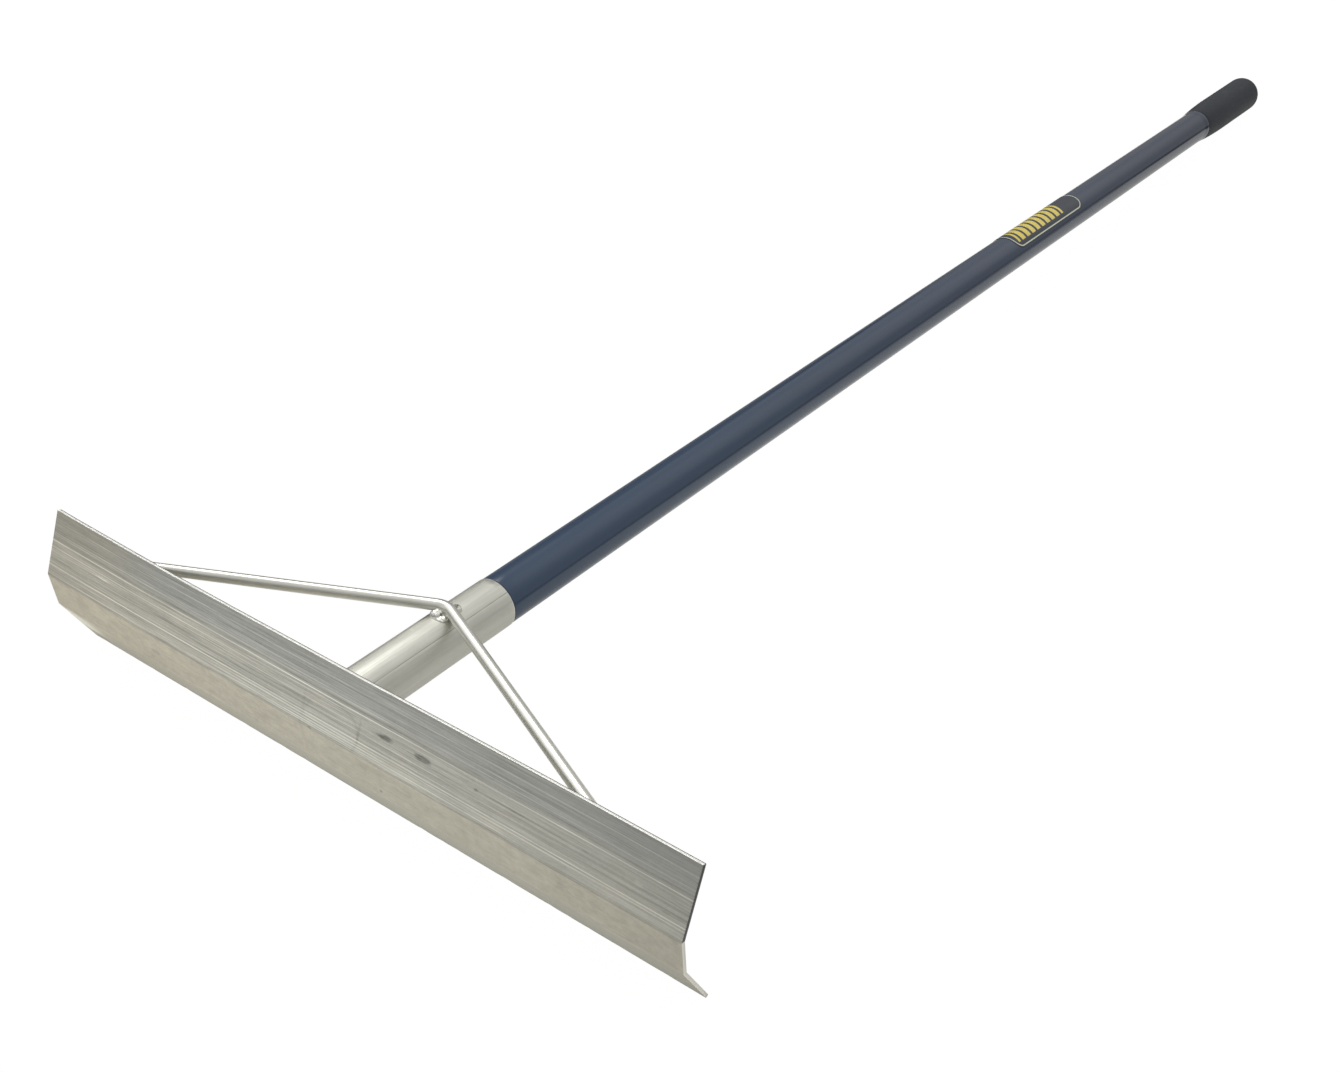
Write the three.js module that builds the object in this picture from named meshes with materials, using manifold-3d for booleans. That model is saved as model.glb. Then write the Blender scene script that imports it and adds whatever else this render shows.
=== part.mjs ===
// Concrete placer (screed rake): a three-leg aluminium blade, a socket tube
// welded to its back, a bent brace rod, and a sleeved tubular handle with an
// end grip. Millimetres, +Z up, standing as it rests on the ground.
//
// The tool is drawn in its own handle frame (x along the blade, y along the
// handle towards the grip, z square to the handle) and then leaned so that the
// blade's lower edge and the underside of the grip both touch the ground.
// The finished origin is the middle of the blade's ground edge. "Front" is the
// blade's side (-y) and "back" or "rear" the grip's (+y).
import * as THREE from "three";
import { mergeVertices } from "three/addons/utils/BufferGeometryUtils.js";
import Module from "manifold-3d";

// ---------------------------------------------------------- shared dimensions
// Lengths along y are measured from the blade's upper bend line.
const GAP = 0.3; // air left between neighbouring solids
const AXIS_Z = 11.15; // handle axis above the upper bend line

const SOCKET_OUTER_R = 20.1;
const SOCKET_CLEAR_R = SOCKET_OUTER_R + GAP; // where parts lying on the socket start

const CORE_OUTER_R = 17.9;
const SLEEVE_END = 1569;
const GRIP_R = 23;
const GRIP_STRAIGHT_END = 1747;

const RIVET_Y = { front: 92, rear: 148 };

const TURNED_SEGMENTS = 48;

// ------------------------------------------------------------- plane geometry
const { degToRad } = THREE.MathUtils;
const ORIGIN = new THREE.Vector2();
const point = (u, v) => new THREE.Vector2(u, v);
const moved = (start, direction, distance) =>
  start.clone().addScaledVector(direction, distance);

function circle(radius, sides) {
  return new THREE.Shape(
    Array.from({ length: sides }, (_, i) => {
      const angle = (2 * Math.PI * i) / sides;
      return point(radius * Math.cos(angle), radius * Math.sin(angle));
    }),
  );
}

// Rounds the corners of a closed outline; each entry is [corner, radius].
const CORNER_STEPS = 4;
function rounded(corners) {
  return corners.flatMap(([corner, radius], i) => {
    if (!radius) return [corner];
    const [before] = corners[(i + corners.length - 1) % corners.length];
    const [after] = corners[(i + 1) % corners.length];
    const toBefore = before.clone().sub(corner).normalize();
    const toAfter = after.clone().sub(corner).normalize();
    const cosine = THREE.MathUtils.clamp(toBefore.dot(toAfter), -1, 1);
    const half = Math.acos(cosine) / 2;
    const bisector = toBefore.clone().add(toAfter).normalize();
    const centre = moved(corner, bisector, radius / Math.sin(half));
    const setback = radius / Math.tan(half);
    const start = moved(corner, toBefore, setback).sub(centre);
    const end = moved(corner, toAfter, setback).sub(centre);
    const turn = Math.atan2(start.cross(end), start.dot(end));
    return Array.from({ length: CORNER_STEPS + 1 }, (_, k) =>
      start.clone().rotateAround(ORIGIN, (turn * k) / CORNER_STEPS).add(centre),
    );
  });
}

// -------------------------------------------------------------- solid helpers
const wasm = await Module();
wasm.setup();

// A closed three.js geometry as a solid, turned the right way out.
function solid(geometry) {
  const bare = geometry.clone();
  bare.deleteAttribute("normal");
  bare.deleteAttribute("uv");
  const merged = mergeVertices(bare, 1e-4);
  const { position } = merged.attributes;
  const index = merged.index.array;

  // merging collapses triangles at poles and seams; leave those out
  const kept = [];
  for (let i = 0; i < index.length; i += 3) {
    const [a, b, c] = index.slice(i, i + 3);
    if (a !== b && b !== c && c !== a) kept.push(a, b, c);
  }

  let volume = 0;
  const corners = [0, 1, 2].map(() => new THREE.Vector3());
  for (let i = 0; i < kept.length; i += 3) {
    corners.forEach((v, k) => v.fromBufferAttribute(position, kept[i + k]));
    volume += corners[0].dot(corners[1].clone().cross(corners[2]));
  }
  if (volume < 0) {
    for (let i = 0; i < kept.length; i += 3) {
      [kept[i + 1], kept[i + 2]] = [kept[i + 2], kept[i + 1]];
    }
  }
  return new wasm.Manifold(
    new wasm.Mesh({
      numProp: 3,
      vertProperties: new Float32Array(position.array),
      triVerts: new Uint32Array(kept),
    }),
  );
}

// A solid back as a three.js geometry, with normals averaged at its vertices.
function geometryOf(body) {
  const { vertProperties, triVerts } = body.getMesh();
  const geometry = new THREE.BufferGeometry();
  geometry.setAttribute(
    "position",
    new THREE.BufferAttribute(new Float32Array(vertProperties), 3),
  );
  geometry.setIndex(new THREE.BufferAttribute(new Uint32Array(triVerts), 1));
  geometry.computeVertexNormals();
  return geometry;
}

// An outline in the (y, z) plane drawn out along x, centred on x = 0.
function alongX(outline, length) {
  const geometry = new THREE.ExtrudeGeometry(new THREE.Shape(outline), {
    depth: length,
    bevelEnabled: false,
  });
  geometry.translate(0, 0, -length / 2);
  // shape x -> y, shape y -> z, depth -> x
  geometry.applyMatrix4(
    new THREE.Matrix4().set(0, 0, 1, 0, 1, 0, 0, 0, 0, 1, 0, 0, 0, 0, 0, 1),
  );
  return solid(geometry);
}

// A profile of [radius, height], closed and turned about the y axis.
function lathed(profile, segments) {
  const points = [...profile, profile[0]].map(([radius, height]) => point(radius, height));
  return new THREE.LatheGeometry(points, segments);
}

// A profile of [radius, y] turned about the handle axis.
function turned(profile, segments = TURNED_SEGMENTS) {
  return solid(lathed(profile, segments).translate(0, 0, AXIS_Z));
}

function ellipsoid({ centre, radii, around, rings }) {
  const ball = new THREE.SphereGeometry(1, around, rings);
  ball.scale(...radii);
  ball.translate(...centre);
  return solid(ball);
}

// -------------------------------------------------------------- blade profile
// An extruded strip with three flats. Lengths are of the front face; leans are
// degrees from z. The upper leg runs back as it rises, the others as they fall.
const BLADE_LENGTH = 600;
const UPPER = { length: 51.7, lean: 21.07, thickness: 3.5 };
const MIDDLE = { length: 30.4, lean: 6.48, thickness: 3.2 };
const LIP = { length: 50.7, lean: 30.63, thickness: 2.7 };
const BEND_RADIUS = 1.2; // on both faces of each bend
const EDGE_RADIUS = 0.5; // broken edges of the strip
const GROUND_LAND = 1.2; // width of the flat the lip stands on

// Front-face corners in (y, z), from the top edge to the ground edge.
function legVector({ length, lean }, upOrDown) {
  const angle = degToRad(lean);
  return point(Math.sin(angle), upOrDown * Math.cos(angle)).multiplyScalar(length);
}
const TOP = legVector(UPPER, 1);
const BEND_UP = point(0, 0);
const BEND_LOW = legVector(MIDDLE, -1);
const TIP = legVector(LIP, -1).add(BEND_LOW);

// Unit vectors down each leg, and the normals that point out of its back.
const legDirections = [
  BEND_UP.clone().sub(TOP),
  BEND_LOW.clone().sub(BEND_UP),
  TIP.clone().sub(BEND_LOW),
].map((v) => v.normalize());
const backNormals = legDirections.map((v) => point(-v.y, v.x));
const [upperDown, , lipDown] = legDirections;
const upperUp = upperDown.clone().negate();
const lipUp = lipDown.clone().negate();
const [upperBack, , lipBack] = backNormals;

// The back face's corners, from the top edge down, moved back a further offset.
function backCorners(offset) {
  const depths = [UPPER, MIDDLE, LIP].map(({ thickness }) => thickness + offset);
  // where the back faces of legs i and j cross
  const crossing = (corner, i, j) => {
    const cosine = backNormals[i].dot(backNormals[j]);
    const sineSquared = 1 - cosine * cosine;
    return corner
      .clone()
      .addScaledVector(backNormals[i], (depths[i] - cosine * depths[j]) / sineSquared)
      .addScaledVector(backNormals[j], (depths[j] - cosine * depths[i]) / sineSquared);
  };
  return [
    moved(TOP, upperBack, depths[0]),
    crossing(BEND_UP, 0, 1),
    crossing(BEND_LOW, 1, 2),
    moved(TIP, lipBack, depths[2]),
  ];
}
const [backTop, backBendUp, backBendLow, backTip] = backCorners(0);

// How deep the ground land cuts into the lip's front corner.
function landDepth(down) {
  const run = (edge) => Math.abs(edge.cross(down) / edge.dot(down));
  return GROUND_LAND / (run(lipUp) + run(lipBack));
}

// Lean of the handle: the lip's land and the grip's underside share one plane.
// The land's depth depends on the lean, so the two are settled by iteration.
function findStance() {
  let lean = 0;
  let down = point(0, -1); // towards the ground, in (y, z)
  for (let i = 0; i < 6; i++) {
    const stand = moved(TIP, down, -landDepth(down));
    const span = point(GRIP_STRAIGHT_END, AXIS_Z).sub(stand);
    lean = Math.atan2(span.y, span.x) - Math.asin(GRIP_R / span.length());
    down = point(Math.sin(lean), -Math.cos(lean));
  }
  return { lean, down, depth: landDepth(down) };
}
const stance = findStance();

// Everything in front of the blade's back face plus the gap, used as a cutter.
const CUTTER_OVERRUN = 60; // past the strip's top and ground edges
function makeFrontCutter() {
  const [top, bendUp, bendLow, tip] = backCorners(GAP);
  return alongX(
    [
      moved(top, upperUp, CUTTER_OVERRUN),
      bendUp,
      bendLow,
      moved(tip, lipDown, CUTTER_OVERRUN),
      point(-120, -160),
      point(-120, 130),
    ],
    BLADE_LENGTH + 200,
  );
}
const frontCutter = makeFrontCutter();

// Cuts the flat the lip stands on, parallel to the ground.
function makeLandCutter() {
  const { lean, down, depth } = stance;
  const level = moved(TIP, down, -depth);
  const across = point(Math.cos(lean), Math.sin(lean));
  const front = moved(level, across, -40);
  const rear = moved(level, across, 40);
  return alongX(
    [front, rear, moved(rear, down, 20), moved(front, down, 20)],
    BLADE_LENGTH + 20,
  );
}

function makeBlade() {
  const outline = rounded([
    [TOP, EDGE_RADIUS],
    [BEND_UP, BEND_RADIUS],
    [BEND_LOW, BEND_RADIUS],
    [TIP, 0],
    [backTip, EDGE_RADIUS],
    [backBendLow, BEND_RADIUS],
    [backBendUp, BEND_RADIUS],
    [backTop, EDGE_RADIUS],
  ]);
  return alongX(outline, BLADE_LENGTH).subtract(makeLandCutter());
}

// Middle of the land, in (y, z).
function groundMiddle() {
  const { down, depth } = stance;
  const landEdge = (edge) => moved(TIP, edge, depth / -edge.dot(down));
  return landEdge(lipUp).add(landEdge(lipBack)).multiplyScalar(0.5);
}

// --------------------------------------------------------------- rivet holes
// Two holes through the underside of the socket and the handle core.
const RIVET_HOLE_R = 2.7;
const RIVET_HOLE_LENGTH = 14;
const RIVET_HOLE_DROP = 18; // hole's middle below the handle axis

function drilled(body) {
  return Object.values(RIVET_Y).reduce((rest, y) => {
    const hole = new THREE.CylinderGeometry(RIVET_HOLE_R, RIVET_HOLE_R, RIVET_HOLE_LENGTH, 24);
    hole.rotateX(Math.PI / 2);
    hole.translate(0, y, AXIS_Z - RIVET_HOLE_DROP);
    return rest.subtract(solid(hole));
  }, body);
}

// ---------------------------------------------------------------- socket tube
// Runs along the handle axis, its front end cut to the blade's back.
const SOCKET_BORE_R = 18.4;
const SOCKET_START = -20; // before the front is cut off
const SOCKET_END = 174.5; // open end
const SOCKET_OUTER_CHAMFER = 0.5;
const SOCKET_BORE_CHAMFER = 0.3;

function makeSocket() {
  const tube = turned([
    [SOCKET_BORE_R, SOCKET_START],
    [SOCKET_OUTER_R, SOCKET_START],
    [SOCKET_OUTER_R, SOCKET_END - SOCKET_OUTER_CHAMFER],
    [SOCKET_OUTER_R - SOCKET_OUTER_CHAMFER, SOCKET_END],
    [SOCKET_BORE_R + SOCKET_BORE_CHAMFER, SOCKET_END],
    [SOCKET_BORE_R, SOCKET_END - SOCKET_BORE_CHAMFER],
  ]);
  return drilled(tube.subtract(frontCutter));
}

// A cylinder round the socket, gap included, that keeps other parts out.
function socketClearance(end) {
  const start = -60;
  return turned([
    [0, start],
    [SOCKET_CLEAR_R, start],
    [SOCKET_CLEAR_R, end],
    [0, end],
  ]);
}

// ------------------------------------------------------------------ brace rod
// One round bar bent to a V over the socket.
const ROD_R = 4.5;
const ROD_APEX_Y = 124.9; // where the two straight arms would meet
const ROD_APEX_Z = AXIS_Z + SOCKET_CLEAR_R + ROD_R;
const ROD_SWEEP = 0.4508; // arm runs forward this much per unit sideways
const ROD_DROP = 0.0301; // and drops this much
const ROD_BEND_R = 17;
const ROD_BEND_STEPS = 8;
const ROD_REACH = 275; // sideways reach before trimming against the blade

// A path that gives only its listed points and tangents, never between them.
class StationCurve extends THREE.Curve {
  constructor(points, tangents) {
    super();
    this.points = points;
    this.tangents = tangents;
  }
  indexAt(t) {
    return Math.round(t * (this.points.length - 1));
  }
  getPointAt(t) {
    return this.points[this.indexAt(t)].clone();
  }
  getTangentAt(t) {
    return this.tangents[this.indexAt(t)].clone();
  }
}

// Two straight arms joined by a round bend, from the left (-x) to the right.
function bracePath() {
  const apex = new THREE.Vector3(0, ROD_APEX_Y, ROD_APEX_Z);
  const [left, right] = [-1, 1].map((side) =>
    new THREE.Vector3(side, -ROD_SWEEP, -ROD_DROP).normalize(),
  );
  const half = left.angleTo(right) / 2;
  const inward = left.clone().add(right).normalize();
  const centre = moved(apex, inward, ROD_BEND_R / Math.sin(half));
  const spoke = moved(apex, left, ROD_BEND_R / Math.tan(half)).sub(centre);
  const travel = left.clone().negate();
  const bendAxis = spoke.clone().cross(travel).normalize();
  const bendAngle = Math.PI - 2 * half;
  const armLength = ROD_REACH / right.x;

  const points = [moved(apex, left, armLength)];
  const tangents = [travel];
  for (let k = 0; k <= ROD_BEND_STEPS; k++) {
    const turn = (bendAngle * k) / ROD_BEND_STEPS;
    points.push(spoke.clone().applyAxisAngle(bendAxis, turn).add(centre));
    tangents.push(travel.clone().applyAxisAngle(bendAxis, turn));
  }
  points.push(moved(apex, right, armLength));
  tangents.push(right);
  return new StationCurve(points, tangents);
}

function makeRod(radius, sides) {
  const path = bracePath();
  return solid(
    new THREE.ExtrudeGeometry(circle(radius, sides), {
      steps: path.points.length - 1,
      extrudePath: path,
    }),
  );
}

// --------------------------------------------------------------------- handle
const CORE_BORE_R = 16.3;
const CORE_START = 54;
const CORE_END = 1738;

function makeCore() {
  return drilled(
    turned([
      [CORE_BORE_R, CORE_START],
      [CORE_OUTER_R, CORE_START],
      [CORE_OUTER_R, CORE_END],
      [CORE_BORE_R, CORE_END],
    ]),
  );
}

// plastic sleeve over the core, flared at its rear end
const SLEEVE_OUTER_R = 19.65;
const SLEEVE_BORE_R = CORE_OUTER_R + GAP;
const SLEEVE_START = 175.1;
const SLEEVE_CHAMFER = 0.4;
const SLEEVE_FLARE_START = 1548; // inside
const SLEEVE_FLARE_OUTER_R = 20.5;
const SLEEVE_FLARE_BORE_R = 19.7;

// [radius, y]
const SLEEVE_PROFILE = [
  [SLEEVE_BORE_R, SLEEVE_START],
  [SLEEVE_OUTER_R - SLEEVE_CHAMFER, SLEEVE_START],
  [SLEEVE_OUTER_R, SLEEVE_START + SLEEVE_CHAMFER],
  [SLEEVE_OUTER_R, SLEEVE_FLARE_START + 9],
  [SLEEVE_FLARE_OUTER_R - 0.2, SLEEVE_END - 2],
  [SLEEVE_FLARE_OUTER_R, SLEEVE_END - 0.6],
  [SLEEVE_FLARE_OUTER_R - 0.3, SLEEVE_END],
  [SLEEVE_FLARE_BORE_R, SLEEVE_END],
  [SLEEVE_BORE_R, SLEEVE_FLARE_START],
];

// end grip: a closed soft cap with a tapered nose under the sleeve's flare
const GRIP_BORE_R = CORE_OUTER_R + GAP;
const GRIP_NOSE_START = 1558;
const GRIP_TAPER_END = 1626;
const GRIP_FLOOR = 1740; // inside face of the closed end
const GRIP_END = 1757;
const GRIP_DOME_ANGLES = [18, 36, 54, 72]; // degrees, from the straight part
const GRIP_DOME_POWER = 0.55; // below 1 fills the dome out
const GRIP_SEGMENTS = 40;

// [radius, y]
const GRIP_PROFILE = [
  [0, GRIP_FLOOR],
  [GRIP_BORE_R, GRIP_FLOOR],
  [GRIP_BORE_R, GRIP_NOSE_START],
  [GRIP_BORE_R + 0.4, GRIP_NOSE_START],
  [19.35, SLEEVE_END - 0.4],
  [20.2, SLEEVE_END + 1.6],
  [21.1, SLEEVE_END + 11],
  [22.0, SLEEVE_END + 26],
  [22.6, SLEEVE_END + 41],
  [GRIP_R, GRIP_TAPER_END],
  [GRIP_R, GRIP_STRAIGHT_END],
  ...GRIP_DOME_ANGLES.map(degToRad).map((angle) => [
    GRIP_R * Math.cos(angle) ** GRIP_DOME_POWER,
    GRIP_STRAIGHT_END + (GRIP_END - GRIP_STRAIGHT_END) * Math.sin(angle),
  ]),
  [0, GRIP_END],
];

// ---------------------------------------------------------------------- label
// A curved rectangle wrapped round the sleeve.
const LABEL_START = 1009;
const LABEL_LENGTH = 167;
const LABEL_FROM_DEG = -88; // around the handle from straight up, + towards +x
const LABEL_TO_DEG = 57;
const LABEL_INNER_R = 19.8;
const LABEL_THICKNESS = 0.25;
const LABEL_STEPS = 20;

function makeLabel() {
  const arc = (radius, from, to) =>
    Array.from({ length: LABEL_STEPS + 1 }, (_, i) => {
      const angle = degToRad(from + ((to - from) * i) / LABEL_STEPS);
      return point(radius * Math.sin(angle), radius * Math.cos(angle));
    });
  const sheet = new THREE.ExtrudeGeometry(
    new THREE.Shape([
      ...arc(LABEL_INNER_R + LABEL_THICKNESS, LABEL_FROM_DEG, LABEL_TO_DEG),
      ...arc(LABEL_INNER_R, LABEL_TO_DEG, LABEL_FROM_DEG),
    ]),
    { depth: LABEL_LENGTH, bevelEnabled: false },
  );
  sheet.rotateX(Math.PI / 2); // shape y -> z, depth -> -y
  sheet.translate(0, LABEL_START + LABEL_LENGTH, AXIS_Z);
  return solid(sheet);
}

// ---------------------------------------------------------------------- welds
const SOCKET_WELD_R = 5;
const SOCKET_WELD_POINTS = 40; // on the line the bead follows
const SOCKET_WELD_STEPS = 48;
const SOCKET_WELD_SIDES = 12;

const rodClearance = makeRod(ROD_R + GAP, 16);
const apexSocketClearance = socketClearance(220);

// y of the blade's back face at height z, on its upper or middle leg
function backFaceY(z) {
  const far = z >= backBendUp.y ? backTop : backBendLow;
  const slope = far.clone().sub(backBendUp);
  return backBendUp.x + (slope.x * (z - backBendUp.y)) / slope.y;
}

// Fillet all round the socket, along the line where it meets the blade's back.
function makeSocketWeld() {
  const ring = Array.from({ length: SOCKET_WELD_POINTS }, (_, i) => {
    const angle = (2 * Math.PI * i) / SOCKET_WELD_POINTS;
    const z = AXIS_Z + SOCKET_OUTER_R * Math.cos(angle);
    return new THREE.Vector3(SOCKET_OUTER_R * Math.sin(angle), backFaceY(z), z);
  });
  const bead = new THREE.ExtrudeGeometry(circle(SOCKET_WELD_R, SOCKET_WELD_SIDES), {
    steps: SOCKET_WELD_STEPS,
    extrudePath: new THREE.CatmullRomCurve3(ring, true),
  });
  return solid(bead)
    .subtract(frontCutter)
    .subtract(socketClearance(80))
    .subtract(rodClearance);
}

// Beads that join the rod's bend to the top of the socket.
const APEX_WELDS = {
  front: {
    centre: [-0.6, ROD_APEX_Y - ROD_R - 4.4, AXIS_Z + SOCKET_OUTER_R + 0.6],
    radii: [7.6, 6.8, 5.3],
  },
  rear: {
    centre: [0.8, ROD_APEX_Y + ROD_R + 1.6, AXIS_Z + SOCKET_OUTER_R + 0.2],
    radii: [5.4, 4.9, 4.1],
  },
};

function makeApexWeld(size) {
  return ellipsoid({ ...size, around: 14, rings: 10 })
    .subtract(apexSocketClearance)
    .subtract(rodClearance);
}

// Bead at the end of one arm, where its axis meets the blade's back face.
const BRACE_WELD_RADII = [16.5, 6.2, 8.4];
function makeBraceWeld(side) {
  const apexDepth = point(ROD_APEX_Y, ROD_APEX_Z).sub(backBendUp).dot(upperBack);
  const reach = apexDepth / point(ROD_SWEEP, ROD_DROP).dot(upperBack);
  const centre = [side * reach, ROD_APEX_Y - ROD_SWEEP * reach, ROD_APEX_Z - ROD_DROP * reach];
  return ellipsoid({ centre, radii: BRACE_WELD_RADII, around: 18, rings: 13 })
    .subtract(frontCutter)
    .subtract(rodClearance);
}

// --------------------------------------------------------------------- rivets
// Blind rivets that hold the handle core in the socket, on the underside.
const RIVET_SHANK_R = 2.4;
const RIVET_BORE_R = 1.45;
const RIVET_BULB_R = 3.3; // swelling inside the core
const RIVET_FLANGE_R = 4.6;
const RIVET_FLANGE_TOP = SOCKET_CLEAR_R + 1.3; // flange's outer face
const RIVET_SEGMENTS = 20;
const MANDREL_R = 1.1;
const MANDREL_HEAD_R = 1.9;

// [radius, distance out from the handle axis]
const RIVET_PROFILE = [
  [RIVET_BORE_R, 13.4],
  [2.6, 13.4],
  [RIVET_BULB_R, 14.2],
  [RIVET_BULB_R, 15.0],
  [RIVET_SHANK_R, 15.6],
  [RIVET_SHANK_R, SOCKET_CLEAR_R],
  [RIVET_FLANGE_R, SOCKET_CLEAR_R],
  [RIVET_FLANGE_R - 0.3, SOCKET_CLEAR_R + 0.5],
  [RIVET_FLANGE_R - 1.8, RIVET_FLANGE_TOP],
  [RIVET_BORE_R + 0.3, RIVET_FLANGE_TOP],
  [RIVET_BORE_R, RIVET_FLANGE_TOP - 0.3],
];
const MANDREL_PROFILE = [
  [0, 11.0],
  [1.3, 11.3],
  [MANDREL_HEAD_R, 12.0],
  [MANDREL_HEAD_R, 12.8],
  [MANDREL_R, 13.1],
  [MANDREL_R, 20.9],
  [0, 21.1],
];

// Turned about z, pointing down from the handle axis.
function rivetPart(profile, y) {
  const geometry = lathed(profile, RIVET_SEGMENTS);
  geometry.rotateX(-Math.PI / 2); // axis y -> -z
  geometry.translate(0, y, AXIS_Z);
  return solid(geometry);
}

// ------------------------------------------------------------------ materials
const metal = ({ color, roughness }) =>
  new THREE.MeshStandardMaterial({ color, roughness, metalness: 0.9 });
const plastic = ({ color, roughness }) =>
  new THREE.MeshStandardMaterial({ color, roughness, metalness: 0 });

const materials = {
  blade: () => metal({ color: 0xa3a39b, roughness: 0.42 }),
  socket: () => metal({ color: 0xb9b8ab, roughness: 0.33 }),
  rod: () => metal({ color: 0xc9c8bf, roughness: 0.28 }),
  core: () => metal({ color: 0xb4b5b0, roughness: 0.4 }),
  sleeve: () => plastic({ color: 0x2b3a55, roughness: 0.25 }),
  grip: () => plastic({ color: 0x2e3134, roughness: 0.7 }),
  label: () => plastic({ color: 0x232c44, roughness: 0.35 }),
  socketWeld: () => metal({ color: 0xbdbcb2, roughness: 0.35 }),
  apexWeld: () => metal({ color: 0xc6c4ba, roughness: 0.25 }),
  braceWeld: () => metal({ color: 0xc6c4ba, roughness: 0.3 }),
  rivet: () => metal({ color: 0xc0c0ba, roughness: 0.35 }),
  mandrel: () => metal({ color: 0x8a8a88, roughness: 0.45 }),
};

// ------------------------------------------------------------------- assembly
const tool = new THREE.Group();
function add(name, body, material) {
  const mesh = new THREE.Mesh(geometryOf(body), material());
  mesh.name = name;
  tool.add(mesh);
}

add("blade", makeBlade(), materials.blade);
add("socket_tube", makeSocket(), materials.socket);
add("brace_rod", makeRod(ROD_R, 20).subtract(frontCutter), materials.rod);
add("handle_tube", makeCore(), materials.core);
add("handle_sleeve", turned(SLEEVE_PROFILE), materials.sleeve);
add("end_grip", turned(GRIP_PROFILE, GRIP_SEGMENTS), materials.grip);
add("handle_label", makeLabel(), materials.label);
add("weld_socket_blade", makeSocketWeld(), materials.socketWeld);
for (const [place, size] of Object.entries(APEX_WELDS)) {
  add(`weld_apex_${place}`, makeApexWeld(size), materials.apexWeld);
}
add("weld_brace_left", makeBraceWeld(-1), materials.braceWeld);
add("weld_brace_right", makeBraceWeld(1), materials.braceWeld);
for (const [place, y] of Object.entries(RIVET_Y)) {
  add(`rivet_body_${place}`, rivetPart(RIVET_PROFILE, y), materials.rivet);
  add(`rivet_mandrel_${place}`, rivetPart(MANDREL_PROFILE, y), materials.mandrel);
}

// lean the tool onto the ground and bring the ground edge to the origin
const ground = groundMiddle().rotateAround(ORIGIN, -stance.lean);
tool.rotation.x = -stance.lean;
tool.position.set(0, -ground.x, -ground.y);

const placer = new THREE.Group();
placer.add(tool);

export default placer;
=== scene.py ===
import math
from functools import cached_property
from math import radians

import bmesh
import bpy
import numpy as np
from mathutils import Matrix, Vector


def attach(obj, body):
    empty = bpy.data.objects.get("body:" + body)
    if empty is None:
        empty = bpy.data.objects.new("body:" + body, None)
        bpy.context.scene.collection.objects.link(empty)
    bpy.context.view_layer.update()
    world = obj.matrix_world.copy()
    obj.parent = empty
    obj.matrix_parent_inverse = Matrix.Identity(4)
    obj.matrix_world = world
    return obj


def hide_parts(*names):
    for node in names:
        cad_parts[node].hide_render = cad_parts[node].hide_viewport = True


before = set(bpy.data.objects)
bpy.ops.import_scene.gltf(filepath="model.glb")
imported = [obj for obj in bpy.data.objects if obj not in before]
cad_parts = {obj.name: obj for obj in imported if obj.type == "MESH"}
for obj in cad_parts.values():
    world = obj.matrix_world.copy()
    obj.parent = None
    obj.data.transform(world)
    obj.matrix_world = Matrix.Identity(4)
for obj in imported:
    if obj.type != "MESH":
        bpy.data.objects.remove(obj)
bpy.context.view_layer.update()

# ------------------------------------------------------------------ dimensions
LEAN = 0.03576594066  # radians, handle tipped about x
SHIFT_Y, SHIFT_Z = -26.928625571779904, 74.32690855675341
COS, SIN = math.cos(LEAN), math.sin(LEAN)
HANDLE_DIR = (0.0, COS, -SIN)  # the handle's direction in the scene
AXIS = 11.15  # handle axis above the blade's upper bend line

# the blade's three flats, top to bottom: length, lean in degrees, thickness
BLADE_LENGTH = 600.0
LEG_LENGTH = (51.7, 30.4, 50.7)
LEG_LEAN = (21.07, 6.48, 30.63)
LEG_THICK = (3.5, 3.2, 2.7)
STRIP_WIDTH = sum(LEG_LENGTH)
BEND_R, EDGE_R, REAR_TIP_R = 1.2, 0.55, 0.35
GROUND_LAND = 1.2  # width of the flat the lip stands on

SOCKET_R, SOCKET_BORE, SOCKET_END = 20.1, 18.4, 174.5
SOCKET_GAP = 0.05  # between the tube's end and the blade's back

ROD_R, ROD_APEX_H, ROD_BEND_R = 4.5, 124.9, 17.0
ROD_SWEEP, ROD_DROP = 0.4508, 0.0301  # travel of an arm in h and n per unit of x
ROD_APEX_N = AXIS + SOCKET_R + 0.3 + ROD_R
ROD_APEX = np.array([0, ROD_APEX_H, ROD_APEX_N])

SLEEVE_R, SLEEVE_BORE, SLEEVE_START = 19.65, 18.2, 175.1
FLARE_START, FLARE_LENGTH, FLARE_RISE = 1556.0, 11.6, 0.75
GRIP_R, GRIP_BORE, GRIP_END = 23.0, 18.2, 1757.0
GRIP_DOME_START = 1746.0

LABEL_START, LABEL_LENGTH = 1009.0, 167.0
LABEL_FROM, LABEL_TO = -88.0, 57.0  # degrees round the handle from the top, + right
LABEL_R_OUT, LABEL_R_IN, LABEL_CORNER = 20.03, 19.74, 13.0

RIVETS = (("front", 92.0), ("rear", 148.0))  # name and h of each


# --------------------------------------------------------------- small helpers
def to_scene(points):
    """Tool-frame millimetres (x, h, n) to scene metres."""
    points = np.asarray(points, float)
    out = np.empty_like(points)
    out[..., 0] = points[..., 0]
    out[..., 1] = points[..., 1] * COS + points[..., 2] * SIN + SHIFT_Y
    out[..., 2] = -points[..., 1] * SIN + points[..., 2] * COS + SHIFT_Z
    return out / 1000.0


def normalised(vector):
    return vector / np.linalg.norm(vector)


def full_turn(count):
    return np.linspace(0, 2 * math.pi, count, endpoint=False)


def smooth(part):
    """Eases 0..1 in and out."""
    return part * part * (3 - 2 * part)


def hump(offset, width):
    return np.exp(-((offset / width) ** 2))


def degrees_from(angles, centre):
    """Signed difference in degrees from centre, for angles in radians."""
    return (np.degrees(angles) - centre + 180) % 360 - 180


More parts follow.
